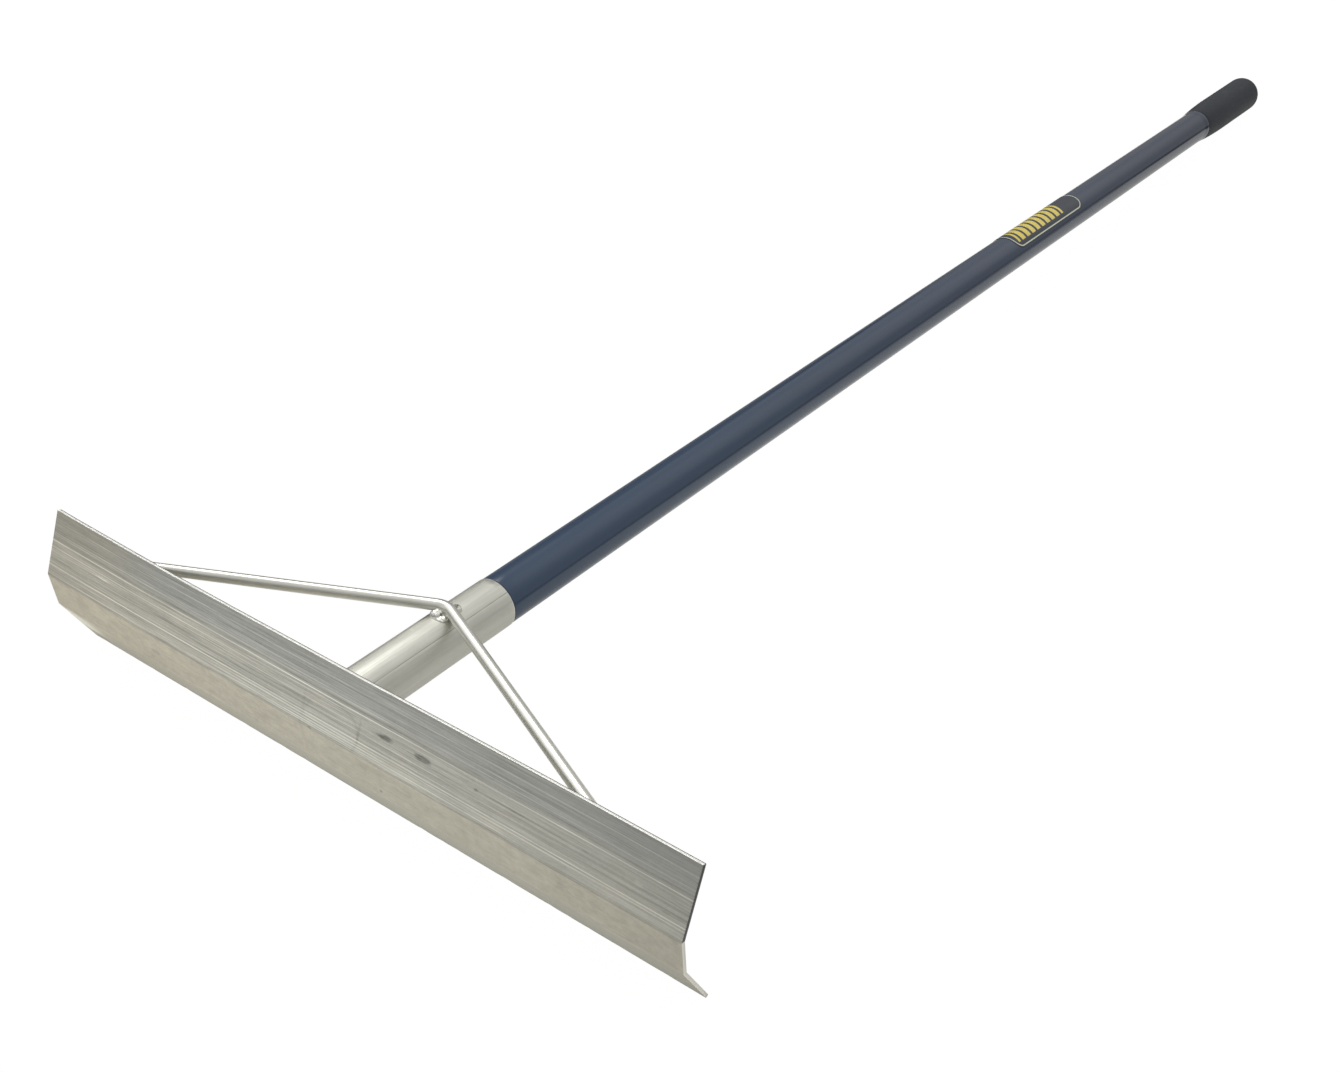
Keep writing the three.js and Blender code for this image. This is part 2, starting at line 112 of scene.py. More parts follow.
def value_noise(x, y, seed, wrap=512):
    """Smooth 2-D value noise in -1..1; wrap is the period of y in cells."""
    table = np.random.RandomState(seed).uniform(-1, 1, (512, 512))
    x, y = np.asarray(x, float), np.asarray(y, float)
    x_cell, y_cell = np.floor(x).astype(int), np.floor(y).astype(int)
    x_part, y_part = smooth(x - x_cell), smooth(y - y_cell)
    x0, x1 = x_cell % 512, (x_cell + 1) % 512
    y0, y1 = y_cell % wrap, (y_cell + 1) % wrap
    low = table[x0, y0] * (1 - x_part) + table[x1, y0] * x_part
    high = table[x0, y1] * (1 - x_part) + table[x1, y1] * x_part
    return low * (1 - y_part) + high * y_part


def round_noise(along, angles, cells, seed):
    """Noise that closes on itself after a full turn of the angles."""
    return value_noise(along, angles / (2 * math.pi) * cells, seed, wrap=cells)


def resample(points, step):
    """Adds points along a path so no run is longer than step."""
    points = [np.asarray(point, float) for point in points]
    out = []
    for start, end in zip(points, points[1:]):
        count = max(1, math.ceil(np.linalg.norm(end - start) / step))
        out += [start + (end - start) * k / count for k in range(count)]
    return out + [points[-1]]


def around(radius, h, angles):
    """Points about the handle axis; angle 0 is up, + towards +x."""
    parts = (radius * np.sin(angles), h, AXIS + radius * np.cos(angles))
    return np.stack(np.broadcast_arrays(*parts), -1)


# ------------------------------------------------------------- mesh builders
def ring_faces(rings, count, closed=False):
    """Quads between consecutive rings of count points each."""
    faces = []
    for i in range(rings if closed else rings - 1):
        here, there = i * count, ((i + 1) % rings) * count
        for j in range(count):
            k = (j + 1) % count
            faces.append((here + j, here + k, there + k, there + j))
    return faces


def bar_faces(rings, count):
    """Quads along a solid bar, with one flat face on each end."""
    last = (rings - 1) * count
    ends = [tuple(range(count)), tuple(reversed(range(last, last + count)))]
    return ring_faces(rings, count) + ends


def loft(rings, caps=None):
    """Skins rings into a closed loop, or fans both ends to the two cap points."""
    count = len(rings[0])
    verts = np.concatenate(rings)
    faces = ring_faces(len(rings), count, closed=caps is None)
    for first, cap in zip((0, (len(rings) - 1) * count), caps or ()):
        centre = len(verts)
        verts = np.vstack([verts, [cap]])
        faces += [(first + j, first + (j + 1) % count, centre) for j in range(count)]
    return verts, faces


def turned(profile, segments, place, capped=False):
    """Turns a profile of (radius, along); place(radius, along, angles) sets the axis."""
    angles = full_turn(segments)
    rings = [place(radius, along, angles) for radius, along in profile]
    ends = (profile[0], profile[-1])
    caps = [place(0.0, along, 0.0) for _, along in ends] if capped else None
    return loft(rings, caps)


def make_part(name, node, shape, sharp, attrs=None):
    """A smooth mesh object from tool-frame (verts, faces), standing in for a CAD node."""
    verts, faces = shape
    mesh = bpy.data.meshes.new(name)
    mesh.from_pydata(to_scene(verts).tolist(), [], faces)
    for key, values in (attrs or {}).items():
        layer = mesh.attributes.new(key, "FLOAT", "POINT")
        layer.data.foreach_set("value", np.asarray(values, np.float32).ravel())
    mesh.validate()
    bm = bmesh.new()
    bm.from_mesh(mesh)
    bmesh.ops.recalc_face_normals(bm, faces=bm.faces)
    if bm.calc_volume(signed=True) < 0:
        bmesh.ops.reverse_faces(bm, faces=bm.faces)
    bm.to_mesh(mesh)
    bm.free()
    mesh.shade_smooth()
    mesh.set_sharp_from_angle(angle=radians(sharp))
    mesh.update()
    obj = bpy.data.objects.new(name, mesh)
    bpy.context.scene.collection.objects.link(obj)
    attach(obj, "root")
    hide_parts(node)
    return obj


# ------------------------------------------------------------- blade section
# All points and directions here are (h, n) pairs; the origin is the upper bend.
def leg_vector(leg, sign):
    """One flat as a vector; sign +1 points up, -1 down."""
    lean = radians(LEG_LEAN[leg])
    return np.array([math.sin(lean), sign * math.cos(lean)]) * LEG_LENGTH[leg]


BEND_UP = np.zeros(2)
TOP = leg_vector(0, 1)
BEND_LOW = leg_vector(1, -1)
TIP = BEND_LOW + leg_vector(2, -1)
LEG_START = (TOP, BEND_UP, BEND_LOW)
LEG_DIR = [
    -TOP / LEG_LENGTH[0], BEND_LOW / LEG_LENGTH[1], (TIP - BEND_LOW) / LEG_LENGTH[2],
]
BACK_NORMAL = [np.array([-way[1], way[0]]) for way in LEG_DIR]


def back_meet(corner, i, j):
    """Where the back faces of flats i and j meet behind a front corner."""
    first, second = BACK_NORMAL[i], BACK_NORMAL[j]
    cosine = first @ second
    along_first = (LEG_THICK[i] - cosine * LEG_THICK[j]) / (1 - cosine * cosine)
    along_second = (LEG_THICK[j] - cosine * LEG_THICK[i]) / (1 - cosine * cosine)
    return corner + first * along_first + second * along_second


BACK = [  # back corners, top to bottom
    TOP + BACK_NORMAL[0] * LEG_THICK[0],
    back_meet(BEND_UP, 0, 1),
    back_meet(BEND_LOW, 1, 2),
    TIP + BACK_NORMAL[2] * LEG_THICK[2],
]


def back_h(n):
    """h of the blade's back face at height n, on the upper and middle flats."""
    n = np.asarray(n, float)
    (top_h, top_n), (bend_h, bend_n), (low_h, low_n) = BACK[:3]
    upper = bend_h + (top_h - bend_h) * (n - bend_n) / (top_n - bend_n)
    lower = bend_h + (low_h - bend_h) * (n - bend_n) / (low_n - bend_n)
    return np.where(n >= bend_n, upper, lower)


def on_back(radius, lift, angles):
    """Points about the handle axis, lift beyond the blade's back."""
    return around(radius, back_h(AXIS + radius * np.cos(angles)) + lift, angles)


def round_corners(corners, steps=6):
    """Outline from (corner, radius) pairs; radius 0 leaves the corner sharp."""
    out = []
    for i, (corner, radius) in enumerate(corners):
        if radius == 0:
            out.append(corner)
            continue
        before = normalised(corners[i - 1][0] - corner)
        after = normalised(corners[(i + 1) % len(corners)][0] - corner)
        half = math.acos(before @ after) / 2
        centre = corner + normalised(before + after) * (radius / math.sin(half))
        start = corner + before * (radius / math.tan(half)) - centre
        end = corner + after * (radius / math.tan(half)) - centre
        sweep = math.atan2(start[0] * end[1] - start[1] * end[0], start @ end)
        for k in range(steps + 1):
            cosine, sine = math.cos(sweep * k / steps), math.sin(sweep * k / steps)
            out.append(centre + np.array([
                start[0] * cosine - start[1] * sine,
                start[0] * sine + start[1] * cosine,
            ]))
    return out


DOWN = np.array([SIN, -COS])  # the scene's down


def ground_level():
    """How far down the lip is cut, so that its land is GROUND_LAND wide."""
    def spread(way):
        return abs((way[0] * DOWN[1] - way[1] * DOWN[0]) / (way @ DOWN))

    return TIP @ DOWN - GROUND_LAND / (spread(-LEG_DIR[2]) + spread(BACK_NORMAL[2]))


def blade_section(level):
    """Points and outward normals round the section, cut flat at level."""
    outline = round_corners([
        (TOP, EDGE_R), (BEND_UP, BEND_R), (BEND_LOW, BEND_R), (TIP, 0),
        (BACK[3], REAR_TIP_R), (BACK[2], BEND_R), (BACK[1], BEND_R), (BACK[0], EDGE_R),
    ])
    cut = []
    for here, there in zip(outline, outline[1:] + [outline[0]]):
        cut.append(here)
        below, next_below = here @ DOWN - level, there @ DOWN - level
        if below * next_below < 0:
            cut.append(here + (there - here) * below / (below - next_below))
    cut = [point for point in cut if point @ DOWN <= level + 1e-6]
    # fine enough on the flats for the die lines to be real relief
    points = np.array(resample(cut + [cut[0]], 0.62)[:-1])
    tangent = np.roll(points, -1, 0) - np.roll(points, 1, 0)
    tangent /= np.linalg.norm(tangent, axis=1)[:, None]
    normals = np.stack([tangent[:, 1], -tangent[:, 0]], 1)
    if normals[np.argmin(points[:, 0])][0] > 0:
        normals = -normals
    return points, normals


def strip_place(point):
    """Distance down the strip from its top edge, and depth: 0 front, 1 back."""
    found = []
    for i, (start, way, length) in enumerate(zip(LEG_START, LEG_DIR, LEG_LENGTH)):
        reach = (point - start) @ way
        along = float(np.clip(reach, 0, length))
        foot = start + way * along
        off = float((point - foot) @ BACK_NORMAL[i])
        inside = BACK_NORMAL[i] * np.clip(off, 0, LEG_THICK[i])
        score = np.linalg.norm(point - foot - inside) + (0 if 0 < reach < length else 0.05)
        found.append((score, sum(LEG_LENGTH[:i]) + along, off / LEG_THICK[i]))
    return min(found, key=lambda entry: entry[0])[1:]


# Long lines left along the blade by extrusion:
# distance from the top edge, half width, height (mm, + raised)
DIE_LINES = (
    (3.1, 0.7, -0.020), (8.3, 0.6, 0.030), (9.9, 0.5, -0.020), (13.2, 0.9, -0.018),
    (17.3, 0.5, 0.022), (18.6, 0.5, 0.022), (21.4, 0.6, -0.024), (23.3, 0.7, 0.036),
    (25.8, 0.5, -0.018), (28.2, 0.7, 0.020), (30.9, 0.6, 0.022), (33.6, 0.7, -0.020),
    (37.0, 0.8, -0.018), (42.6, 0.6, 0.032), (44.4, 0.5, 0.024), (46.2, 0.6, -0.022),
    (48.0, 0.6, 0.028), (57.5, 1.2, -0.006), (66.0, 1.4, 0.006), (75.5, 1.2, -0.006),
    (88.0, 1.2, -0.010), (97.0, 1.0, 0.010), (106.0, 1.1, -0.010), (119.0, 1.2, 0.010),
)
# Nicks in an edge: how many, farthest |x|, range of half widths, range of depths,
# the edge's distance down the strip, spread down the strip
NICKS = (
    (26, 295, (0.9, 3.2), (0.08, 0.32), 132.6, 1.1),
    (10, 290, (0.8, 2.4), (0.05, 0.16), 0.0, 0.8),
)
# Rise of the top edge along x, in the plane of the upper flat
TOP_WAVE_X = (-300, -250, -200, -150, -100, -50, 0, 60, 150, 220, 285, 300)
TOP_WAVE = (0, 0, -0.05, -0.40, -0.52, -0.48, -0.45, -0.08, 0.34, 0.52, 0.22, 0.15)


def blade_relief(x, run, side):
    """Die lines and faint waves, as height off the surface."""
    front = np.clip(1 - side * 2.5, 0, 1)
    rear = np.clip(side * 2.5 - 1.5, 0, 1)
    relief = 0.0
    for k, (place, width, height) in enumerate(DIE_LINES):
        drift = 0.25 * value_noise(x / 220.0 + k * 3.7, k + 0.5, 5 + k)
        gain = 0.65 + 0.35 * value_noise(x / 130.0 + k * 9.1, k + 0.5, 50 + k)
        relief = relief + front * height * gain * hump(run - place - drift, width)
        rear_place = (place * 1.37 + 11) % 128
        relief = relief + rear * height * 0.7 * gain * hump(run - rear_place, width * 1.3)
    off_edges = np.clip(np.minimum(run, np.abs(run - 132)) / 3.0, 0, 1)
    return relief + 0.012 * value_noise(x / 45.0, run / 7.0, 201) * off_edges


def blade_nicks(x, run):
    rng = np.random.RandomState(11)
    nicks = 0.0
    for count, reach, widths, depths, edge, spread in NICKS:
        for _ in range(count):
            place = rng.uniform(-reach, reach)
            width = rng.uniform(*widths)
            depth = rng.uniform(*depths)
            nicks = nicks - depth * hump(x - place, width) * hump(run - edge, spread)
    return nicks


def build_blade():
    level = ground_level()
    section, normals = blade_section(level)
    run, side = np.array([strip_place(point) for point in section]).T
    half = BLADE_LENGTH / 2
    # stations along the blade, drawn in at both ends to round them off
    inner = np.linspace(1.0 - half, half - 1.0, 131)
    stations = np.array([
        -half, 0.14 - half, 0.4 - half, *inner, half - 0.4, half - 0.14, half,
    ])
    inset = np.zeros(len(stations))
    inset[[0, -1]] = 0.38
    inset[[1, -2]] = 0.12
    x = stations[:, None]
    shift = blade_relief(x, run, side) + blade_nicks(x, run) - inset[:, None]
    points = section + normals * shift[..., None]

    # the strip is never dead straight
    bow = 0.16 * value_noise(x / 240.0 + 3.3, 0.5, 202)
    points[..., 0] += bow * np.clip(1 - (run / STRIP_WIDTH) ** 2, 0, 1) * 0.6
    # its top edge wanders
    fall = np.clip(1 - run / LEG_LENGTH[0], 0, 1)
    wave = np.interp(x, TOP_WAVE_X, TOP_WAVE) * fall
    points[..., 0] += wave * math.sin(radians(LEG_LEAN[0]))
    points[..., 1] += wave * math.cos(radians(LEG_LEAN[0]))
    # its left end is knocked up a little, most of all at the lower bend
    knock = np.interp(x, (-300, -290, -250, -200, -170), (1.95, 1.65, 0.85, 0.14, 0.0))
    points[..., 0] += knock * 0.30 * fall
    points[..., 1] += knock * np.clip((STRIP_WIDTH - run) / LEG_LENGTH[2], 0, 1)
    bend_knock = np.interp(x, (-300, -285, -262), (0.6, 0.25, 0.0))
    bend_run = LEG_LENGTH[0] + LEG_LENGTH[1]
    points[..., 1] += bend_knock * np.clip(1 - np.abs(run - bend_run) / 26.0, 0, 1)
    # nothing goes below the ground
    points -= np.maximum(points @ DOWN - level, 0)[..., None] * DOWN

    grid = shift.shape
    verts = np.dstack([np.broadcast_to(x, grid), points]).reshape(-1, 3)
    attrs = {"s": np.broadcast_to(run, grid), "side": np.broadcast_to(side, grid)}
    return make_part("blade_strip", "blade",
                     (verts, bar_faces(*grid)), sharp=34.0, attrs=attrs)


# ------------------------------------------------------------------ socket tube
def build_socket():
    """Tube whose far end is square and whose near end follows the blade's back."""
    segments = 192
    angles = full_turn(segments)
    # a shallow draw line runs the length of the tube
    groove = 0.16 * hump(degrees_from(angles, 40.3), 1.3)
    flutes = 0.012 * (np.sin(11 * angles) + 0.6 * np.sin(29 * angles + 1)
                      + 0.5 * np.sin(47 * angles + 2))
    rings = []
    start = on_back(SOCKET_R, SOCKET_GAP, angles)[:, 1]
    for k in range(31):
        part = k / 30
        waves = 0.05 * value_noise(SOCKET_END * part / 26.0, np.degrees(angles) / 30.0, 31, wrap=12)
        radius = np.minimum(SOCKET_R - groove + flutes + waves, SOCKET_R + 0.05)
        rings.append(around(radius, start * (1 - part) + (SOCKET_END - 0.7) * part, angles))
    # round the end: outer corner, then the bore's corner
    for radius, back in (
        (SOCKET_R - 0.1, 0.35), (SOCKET_R - 0.28, 0.1), (SOCKET_R - 0.5, 0.0),
    ):
        rings.append(around(radius - groove, SOCKET_END - back, angles))
    for widening, back in ((0.35, 0.0), (0.1, 0.12), (0.0, 0.4)):
        rings.append(around(SOCKET_BORE + widening, SOCKET_END - back, angles))
    inner_start = on_back(SOCKET_BORE, SOCKET_GAP, angles)[:, 1]
    for k in range(1, 9):
        part = k / 8
        h = (SOCKET_END - 0.4) * (1 - part) + inner_start * part
        rings.append(around(SOCKET_BORE, h, angles))
    return make_part("socket_sleeve_tube", "socket_tube",
                     loft(rings), sharp=38.0)


# -------------------------------------------------------------------- brace rod
def brace_arm(side):
    """Direction of an arm away from the apex; side -1 left, +1 right."""
    return normalised(np.array([side, -ROD_SWEEP, -ROD_DROP]))


def rod_path():
    """Points and tangents of the rod's centre line, left to right, and its bend axis."""
    left, right = brace_arm(-1), brace_arm(1)
    half = math.acos(left @ right) / 2
    centre = ROD_APEX + normalised(left + right) * ROD_BEND_R / math.sin(half)
    setback = ROD_BEND_R / math.tan(half)
    start_spoke = ROD_APEX + left * setback - centre
    end_spoke = ROD_APEX + right * setback - centre
    # step out along an arm until it reaches the blade's back
    reach = 200.0
    for _ in range(20):
        point = ROD_APEX + right * reach
        reach += (point[1] - float(back_h(point[2]))) / (-right[1] + 0.0116)
    far = reach + 6.5
    points, tangents = [], []
    for k in range(37):
        points.append(ROD_APEX + left * (far - (far - setback) * k / 36))
        tangents.append(-left)
    sweep = math.acos(normalised(start_spoke) @ normalised(end_spoke))
    axis = normalised(np.cross(start_spoke, end_spoke))
    for k in range(1, 24):
        angle = sweep * k / 24
        spoke = start_spoke * math.cos(angle) + np.cross(axis, start_spoke) * math.sin(angle)
        points.append(centre + spoke)
        tangents.append(normalised(np.cross(axis, spoke)))
    for k in range(37):
        points.append(ROD_APEX + right * (setback + (far - setback) * k / 36))
        tangents.append(right)
    return np.array(points), np.array(tangents), axis


def build_rod():
    points, tangents, axis = rod_path()
    segments = 72
    angles = full_turn(segments)
    steps = np.linalg.norm(np.diff(points, axis=0), axis=1)
    lengths = np.concatenate([[0], np.cumsum(steps)])
    rings = []
    for point, tangent, length in zip(points, tangents, lengths):
        up = normalised(axis - tangent * (axis @ tangent))
        across = np.cross(up, tangent)
        # the bar ovals slightly where it is bent
        squeeze = hump(length - lengths[-1] / 2, 13.0)
        wave = 0.03 * round_noise(length / 38.0, angles, 6, seed=71)
        wide = ROD_R * (1 + 0.02 * squeeze) + wave
        tall = ROD_R * (1 - 0.035 * squeeze) + wave
        rings.append(point + np.outer(wide * np.cos(angles), across)
                     + np.outer(tall * np.sin(angles), up))
    verts = np.array(rings)
    last = len(rings) - 1
    # both cut ends lie on the blade's back, under their welds
    for ring, way in ((0, tangents[0]), (last, -tangents[-1])):
        for j in range(segments):
            point = verts[ring, j]
            for _ in range(12):
                gap = float(back_h(point[2])) + 0.1 - point[1]
                point = point + way * gap / way[1]
            verts[ring, j] = point
    # stations the trimmed ends would overtake are pulled back inside them
    for ring, sign in ((0, 1), (last, -1)):
        for j in range(segments):
            stop = verts[ring, j].copy()
            for k in range(1, 5):
                near = ring + sign * k
                way = tangents[near] * sign
                if (verts[near, j] - stop) @ way < 0.4 * k:
                    verts[near, j] = stop + way * 0.4 * k
    shape = (verts.reshape(-1, 3), bar_faces(len(rings), segments))
    return make_part("brace_bar", "brace_rod", shape, sharp=50.0,
                     attrs={"along": np.repeat(lengths, segments)})


# ----------------------------------------------------------------- handle sleeve
def build_sleeve():
    """Long thin shell, flared and lipped where it enters the grip."""
    # profiles are (radius, h)
    start_rim = [
        (SLEEVE_R - 0.45, SLEEVE_START), (SLEEVE_R - 0.2, SLEEVE_START + 0.08),
        (SLEEVE_R - 0.05, SLEEVE_START + 0.25),
    ]
    body = resample([(SLEEVE_R, SLEEVE_START + 0.6), (SLEEVE_R, FLARE_START)], 11.0)
    flare = [
        (SLEEVE_R + FLARE_RISE * smooth(k / 12), FLARE_START + FLARE_LENGTH * k / 12)
        for k in range(1, 13)
    ]
    lip = [
        (20.14 + 0.36 * math.cos(radians(angle)), 1568.0 + 0.36 * math.sin(radians(angle)))
        for angle in (40, 52.5, 65, 77.5, 90)
    ]
    throat = [(20.0, 1568.5), (19.78, 1568.2)]
    throat += resample([(19.7, 1567.2), (18.6, 1552.0), (SLEEVE_BORE, 1548.0)], 4.0)
    bore = resample([(SLEEVE_BORE, 1548.0), (SLEEVE_BORE, SLEEVE_START + 0.3)], 60.0)[1:]
    bore.append((SLEEVE_BORE + 0.25, SLEEVE_START))

    def place(radius, h, angles):
        """The outside waves slightly, but not at its start rim."""
        wave = 0.035 * round_noise(h / 95.0, angles, 5, seed=41)
        wave = wave + 0.014 * round_noise(h / 23.0, angles, 9, seed=42)
        fade = np.clip((h - SLEEVE_START - 3) / 20, 0, 1)
        outer = radius > 19.0 and h < 1560
        return around(radius + (wave * fade if outer else 0), h, angles)

    shape = turned(start_rim + body + flare + lip + throat + bore,
                   160, place)
    return make_part("sleeve_shell", "handle_sleeve", shape, sharp=40.0)


# ------------------------------------------------------------------ end grip
# (radius, h) of the mouth and the swell up to full radius
GRIP_SWELL = (
    (19.3, 1566.6), (19.42, 1568.6), (19.9, 1569.8), (20.5, 1571.6), (21.05, 1576.0),
    (21.5, 1583.0), (21.95, 1592.0), (22.35, 1603.0), (22.7, 1614.0), (22.92, 1624.0),
    (GRIP_R, 1636.0),
)


def build_grip():
    bore = [(2.0, 1740.0), (GRIP_BORE - 0.6, 1740.0)]
    bore += resample([(GRIP_BORE, 1739.4), (GRIP_BORE, 1558.4)], 30.0)
    mouth = [(GRIP_BORE + 0.25, 1558.0), (18.7, 1559.5)]
    swell = [
        (r0 + (r1 - r0) * k / 3, h0 + (h1 - h0) * k / 3)
        for (r0, h0), (r1, h1) in zip(GRIP_SWELL, GRIP_SWELL[1:]) for k in range(3)
    ]
    straight = resample([GRIP_SWELL[-1], (GRIP_R, GRIP_DOME_START)], 5.0)
    dome = []
    for k in range(1, 24):
        angle = radians(90.0 * k / 24)
        dome.append((GRIP_R * math.cos(angle) ** 0.52,
                     GRIP_DOME_START + (GRIP_END - GRIP_DOME_START) * math.sin(angle)))

    def place(radius, h, angles):
        """A faint mould line down each side, and the soft wall's slight waves."""
        seam = 0.10 * (hump(degrees_from(angles, 96), 1.6) + hump(degrees_from(angles, 276), 1.6))
        wave = 0.07 * round_noise(h / 34.0, angles, 6, seed=61)
        fade = np.clip((h - 1575) / 20, 0, 1) * np.clip((GRIP_END - h) / 6, 0, 1)
        outer = radius > 19.4 and h > 1575
        return around(radius + ((seam + wave) * fade if outer else 0), h, angles)

    shape = turned(bore + mouth + swell + straight + dome, 160,
                   place, capped=True)
    return make_part("grip_cap", "end_grip", shape, sharp=44.0)


# ------------------------------------------------------------------------ label
def build_label():
    """Thin film with rounded corners, wrapped round the sleeve."""
    corner = LABEL_CORNER
    half_length = LABEL_LENGTH / 2
    half_width = radians(LABEL_TO - LABEL_FROM) / 2 * LABEL_R_OUT
    middle_angle = radians((LABEL_FROM + LABEL_TO) / 2)
    rows, columns = ((72, 110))
    # rows run along the handle; their length follows the rounded corners
    first_rows = -half_width + corner * (1 - np.cos(np.linspace(0, math.pi / 2, 14)))
    middle_rows = np.linspace(-half_width + corner, half_width - corner, rows)[1:-1]
    across = np.concatenate([first_rows, middle_rows, -first_rows[::-1]])
    inset = np.maximum(0.0, np.abs(across) - (half_width - corner))
    cut = corner - np.sqrt(np.maximum(0.0, corner * corner - inset * inset))
    reach = half_length - cut
    along = np.linspace(-reach, reach, columns, axis=-1)
    across = np.repeat(across[:, None], columns, axis=1)
    # distance in from the film's rounded edge
    excess = np.stack([np.abs(along) - (half_length - corner),
                       np.abs(across) - (half_width - corner)], -1)
    beyond = np.linalg.norm(np.maximum(excess, 0), axis=-1)
    from_edge = -(np.minimum(np.max(excess, -1), 0) + beyond - corner)
    edge = np.clip(from_edge / 0.5, 0, 1)
    angles = middle_angle + across / LABEL_R_OUT
    h = LABEL_START + half_length + along
    top = around(LABEL_R_IN + (LABEL_R_OUT - LABEL_R_IN) * (0.55 + 0.45 * edge), h, angles)
    bottom = around(LABEL_R_IN, h, angles)

    m, k = along.shape
    count = m * k
    faces = []
    for i in range(m - 1):
        for j in range(k - 1):
            a = i * k + j
            faces.append((a, a + 1, a + k + 1, a + k))
            faces.append((count + a, count + a + k, count + a + k + 1, count + a + 1))
    rim = list(range(k)) + [i * k + k - 1 for i in range(1, m)]
    rim += [(m - 1) * k + j for j in range(k - 2, -1, -1)]
    rim += [i * k for i in range(m - 2, 0, -1)]
    for a, b in zip(rim, rim[1:] + rim[:1]):
        faces.append((b, a, count + a, count + b))
    verts = np.vstack([top.reshape(-1, 3), bottom.reshape(-1, 3)])
    attrs = {
        key: np.concatenate([values.ravel(), values.ravel()])
        for key, values in (("lu", along), ("lv", across), ("sd", from_edge))
    }
    return make_part("label_film_sheet", "handle_label",
                     (verts, faces), sharp=60.0, attrs=attrs)


# ------------------------------------------------------------------------ welds
def weld_ripple(angle, ripples):
    """Height of the overlapping ripples in a bead of so many round the turn."""
    cell = (angle / (2 * math.pi) * ripples) % 1.0
    return 0.16 * (1 - (2 * cell - 1) ** 2) - 0.07


def build_socket_weld():
    """Rippled fillet all round the socket, on the blade's back."""
    ripples = 38
    fillet = np.radians(np.linspace(-4, 94, 13))  # 0 on the blade, 90 on the tube
    # each ripple leans back along the run
    skew = fillet / radians(90.0) * 0.35 * (2 * math.pi / ripples)
    rings = []
    for angle in full_turn(330):
        ripple = weld_ripple(angle, ripples)
        wide = 4.3 + 0.45 * value_noise(angle / (2 * math.pi) * 9, 0.5, 81) + 0.55 * ripple
        tall = 4.6 + 0.5 * value_noise(angle / (2 * math.pi) * 8 + 7, 0.5, 82) + 0.8 * ripple
        bulge = 1 + (0.10 + 0.5 * ripple) * np.sin(2 * fillet)
        ring = on_back(SOCKET_R - 0.25 + wide * np.cos(fillet) * bulge,
                       tall * np.sin(fillet) * bulge - 0.25, angle - skew * 0.8)
        rings.append(np.vstack([ring, on_back(SOCKET_R - 0.45, -0.2, angle)]))
    return make_part("socket_weld_bead", "weld_socket_blade",
                     loft(rings), sharp=60.0)


def build_brace_weld(side, name, node):
    """Rippled fillet round the oblique end of one arm."""
    arm = brace_arm(side)
    upper = normalised(BACK[0] - BACK[1])
    face = np.array([0, upper[1], -upper[0]])  # out of the blade's back
    base = np.array([0, *BACK[1]])
    slope = arm @ face
    centre = ROD_APEX + arm * (((base - ROD_APEX) @ face) / slope)
    across = normalised(np.cross(arm, face))
    up = np.cross(across, arm)
    fillet = np.radians(np.linspace(-4, 94, 11))  # 0 on the blade, 90 on the rod
    rings = []
    for angle in full_turn(200):
        ripple = weld_ripple(angle, 17)
        out = across * math.cos(angle) + up * math.sin(angle)
        foot = centre + out * ROD_R
        foot = foot + arm * (((base - foot) @ face) / slope)
        in_plane = normalised(out - face * (out @ face))
        # 1 where the rod leans away from the blade, 0 where it leans over it
        opening = 0.5 + 0.5 * (out @ face) / max(1e-6, math.sqrt(1 - slope ** 2))
        wide = (3.4 + 0.9 * (1 - opening) + 0.5 * ripple
                + 0.3 * value_noise(angle * 1.4, side + 2.5, 91))
        tall = (3.2 + 2.6 * opening + 0.7 * ripple
                + 0.3 * value_noise(angle * 1.3 + 5, side + 2.5, 92))
        bulge = 1 + (0.12 + 0.5 * ripple) * np.sin(2 * fillet)
        ring = (foot - in_plane * 0.2 - face * 0.15
                + np.outer(wide * np.cos(fillet) * bulge, in_plane)
                - np.outer(tall * np.sin(fillet) * bulge, arm))
        rings.append(np.vstack([ring, foot - in_plane * 0.6 - face * 0.1]))
    return make_part(name, node, loft(rings), sharp=60.0)


def ellipsoid(centre, radii, tilt):
    """Vertices and faces of one lump, turned by tilt degrees about n."""
    segments, rings = 40, 24
    verts = []
    for i in range(1, rings):
        polar = math.pi * i / rings
        for j in range(segments):
            angle = 2 * math.pi * j / segments
            verts.append((math.sin(polar) * math.cos(angle),
                          math.sin(polar) * math.sin(angle), math.cos(polar)))
    top, bottom = len(verts), len(verts) + 1
    verts += [(0, 0, 1.0), (0, 0, -1.0)]
    faces = ring_faces(rings - 1, segments)
    last = (rings - 2) * segments
    for j in range(segments):
        k = (j + 1) % segments
        faces += [(top, k, j), (bottom, last + j, last + k)]
    x, h, n = (np.array(verts) * np.array(radii)).T
    cosine, sine = math.cos(radians(tilt)), math.sin(radians(tilt))
    return np.stack([x * cosine - h * sine, x * sine + h * cosine, n], 1) + centre, faces


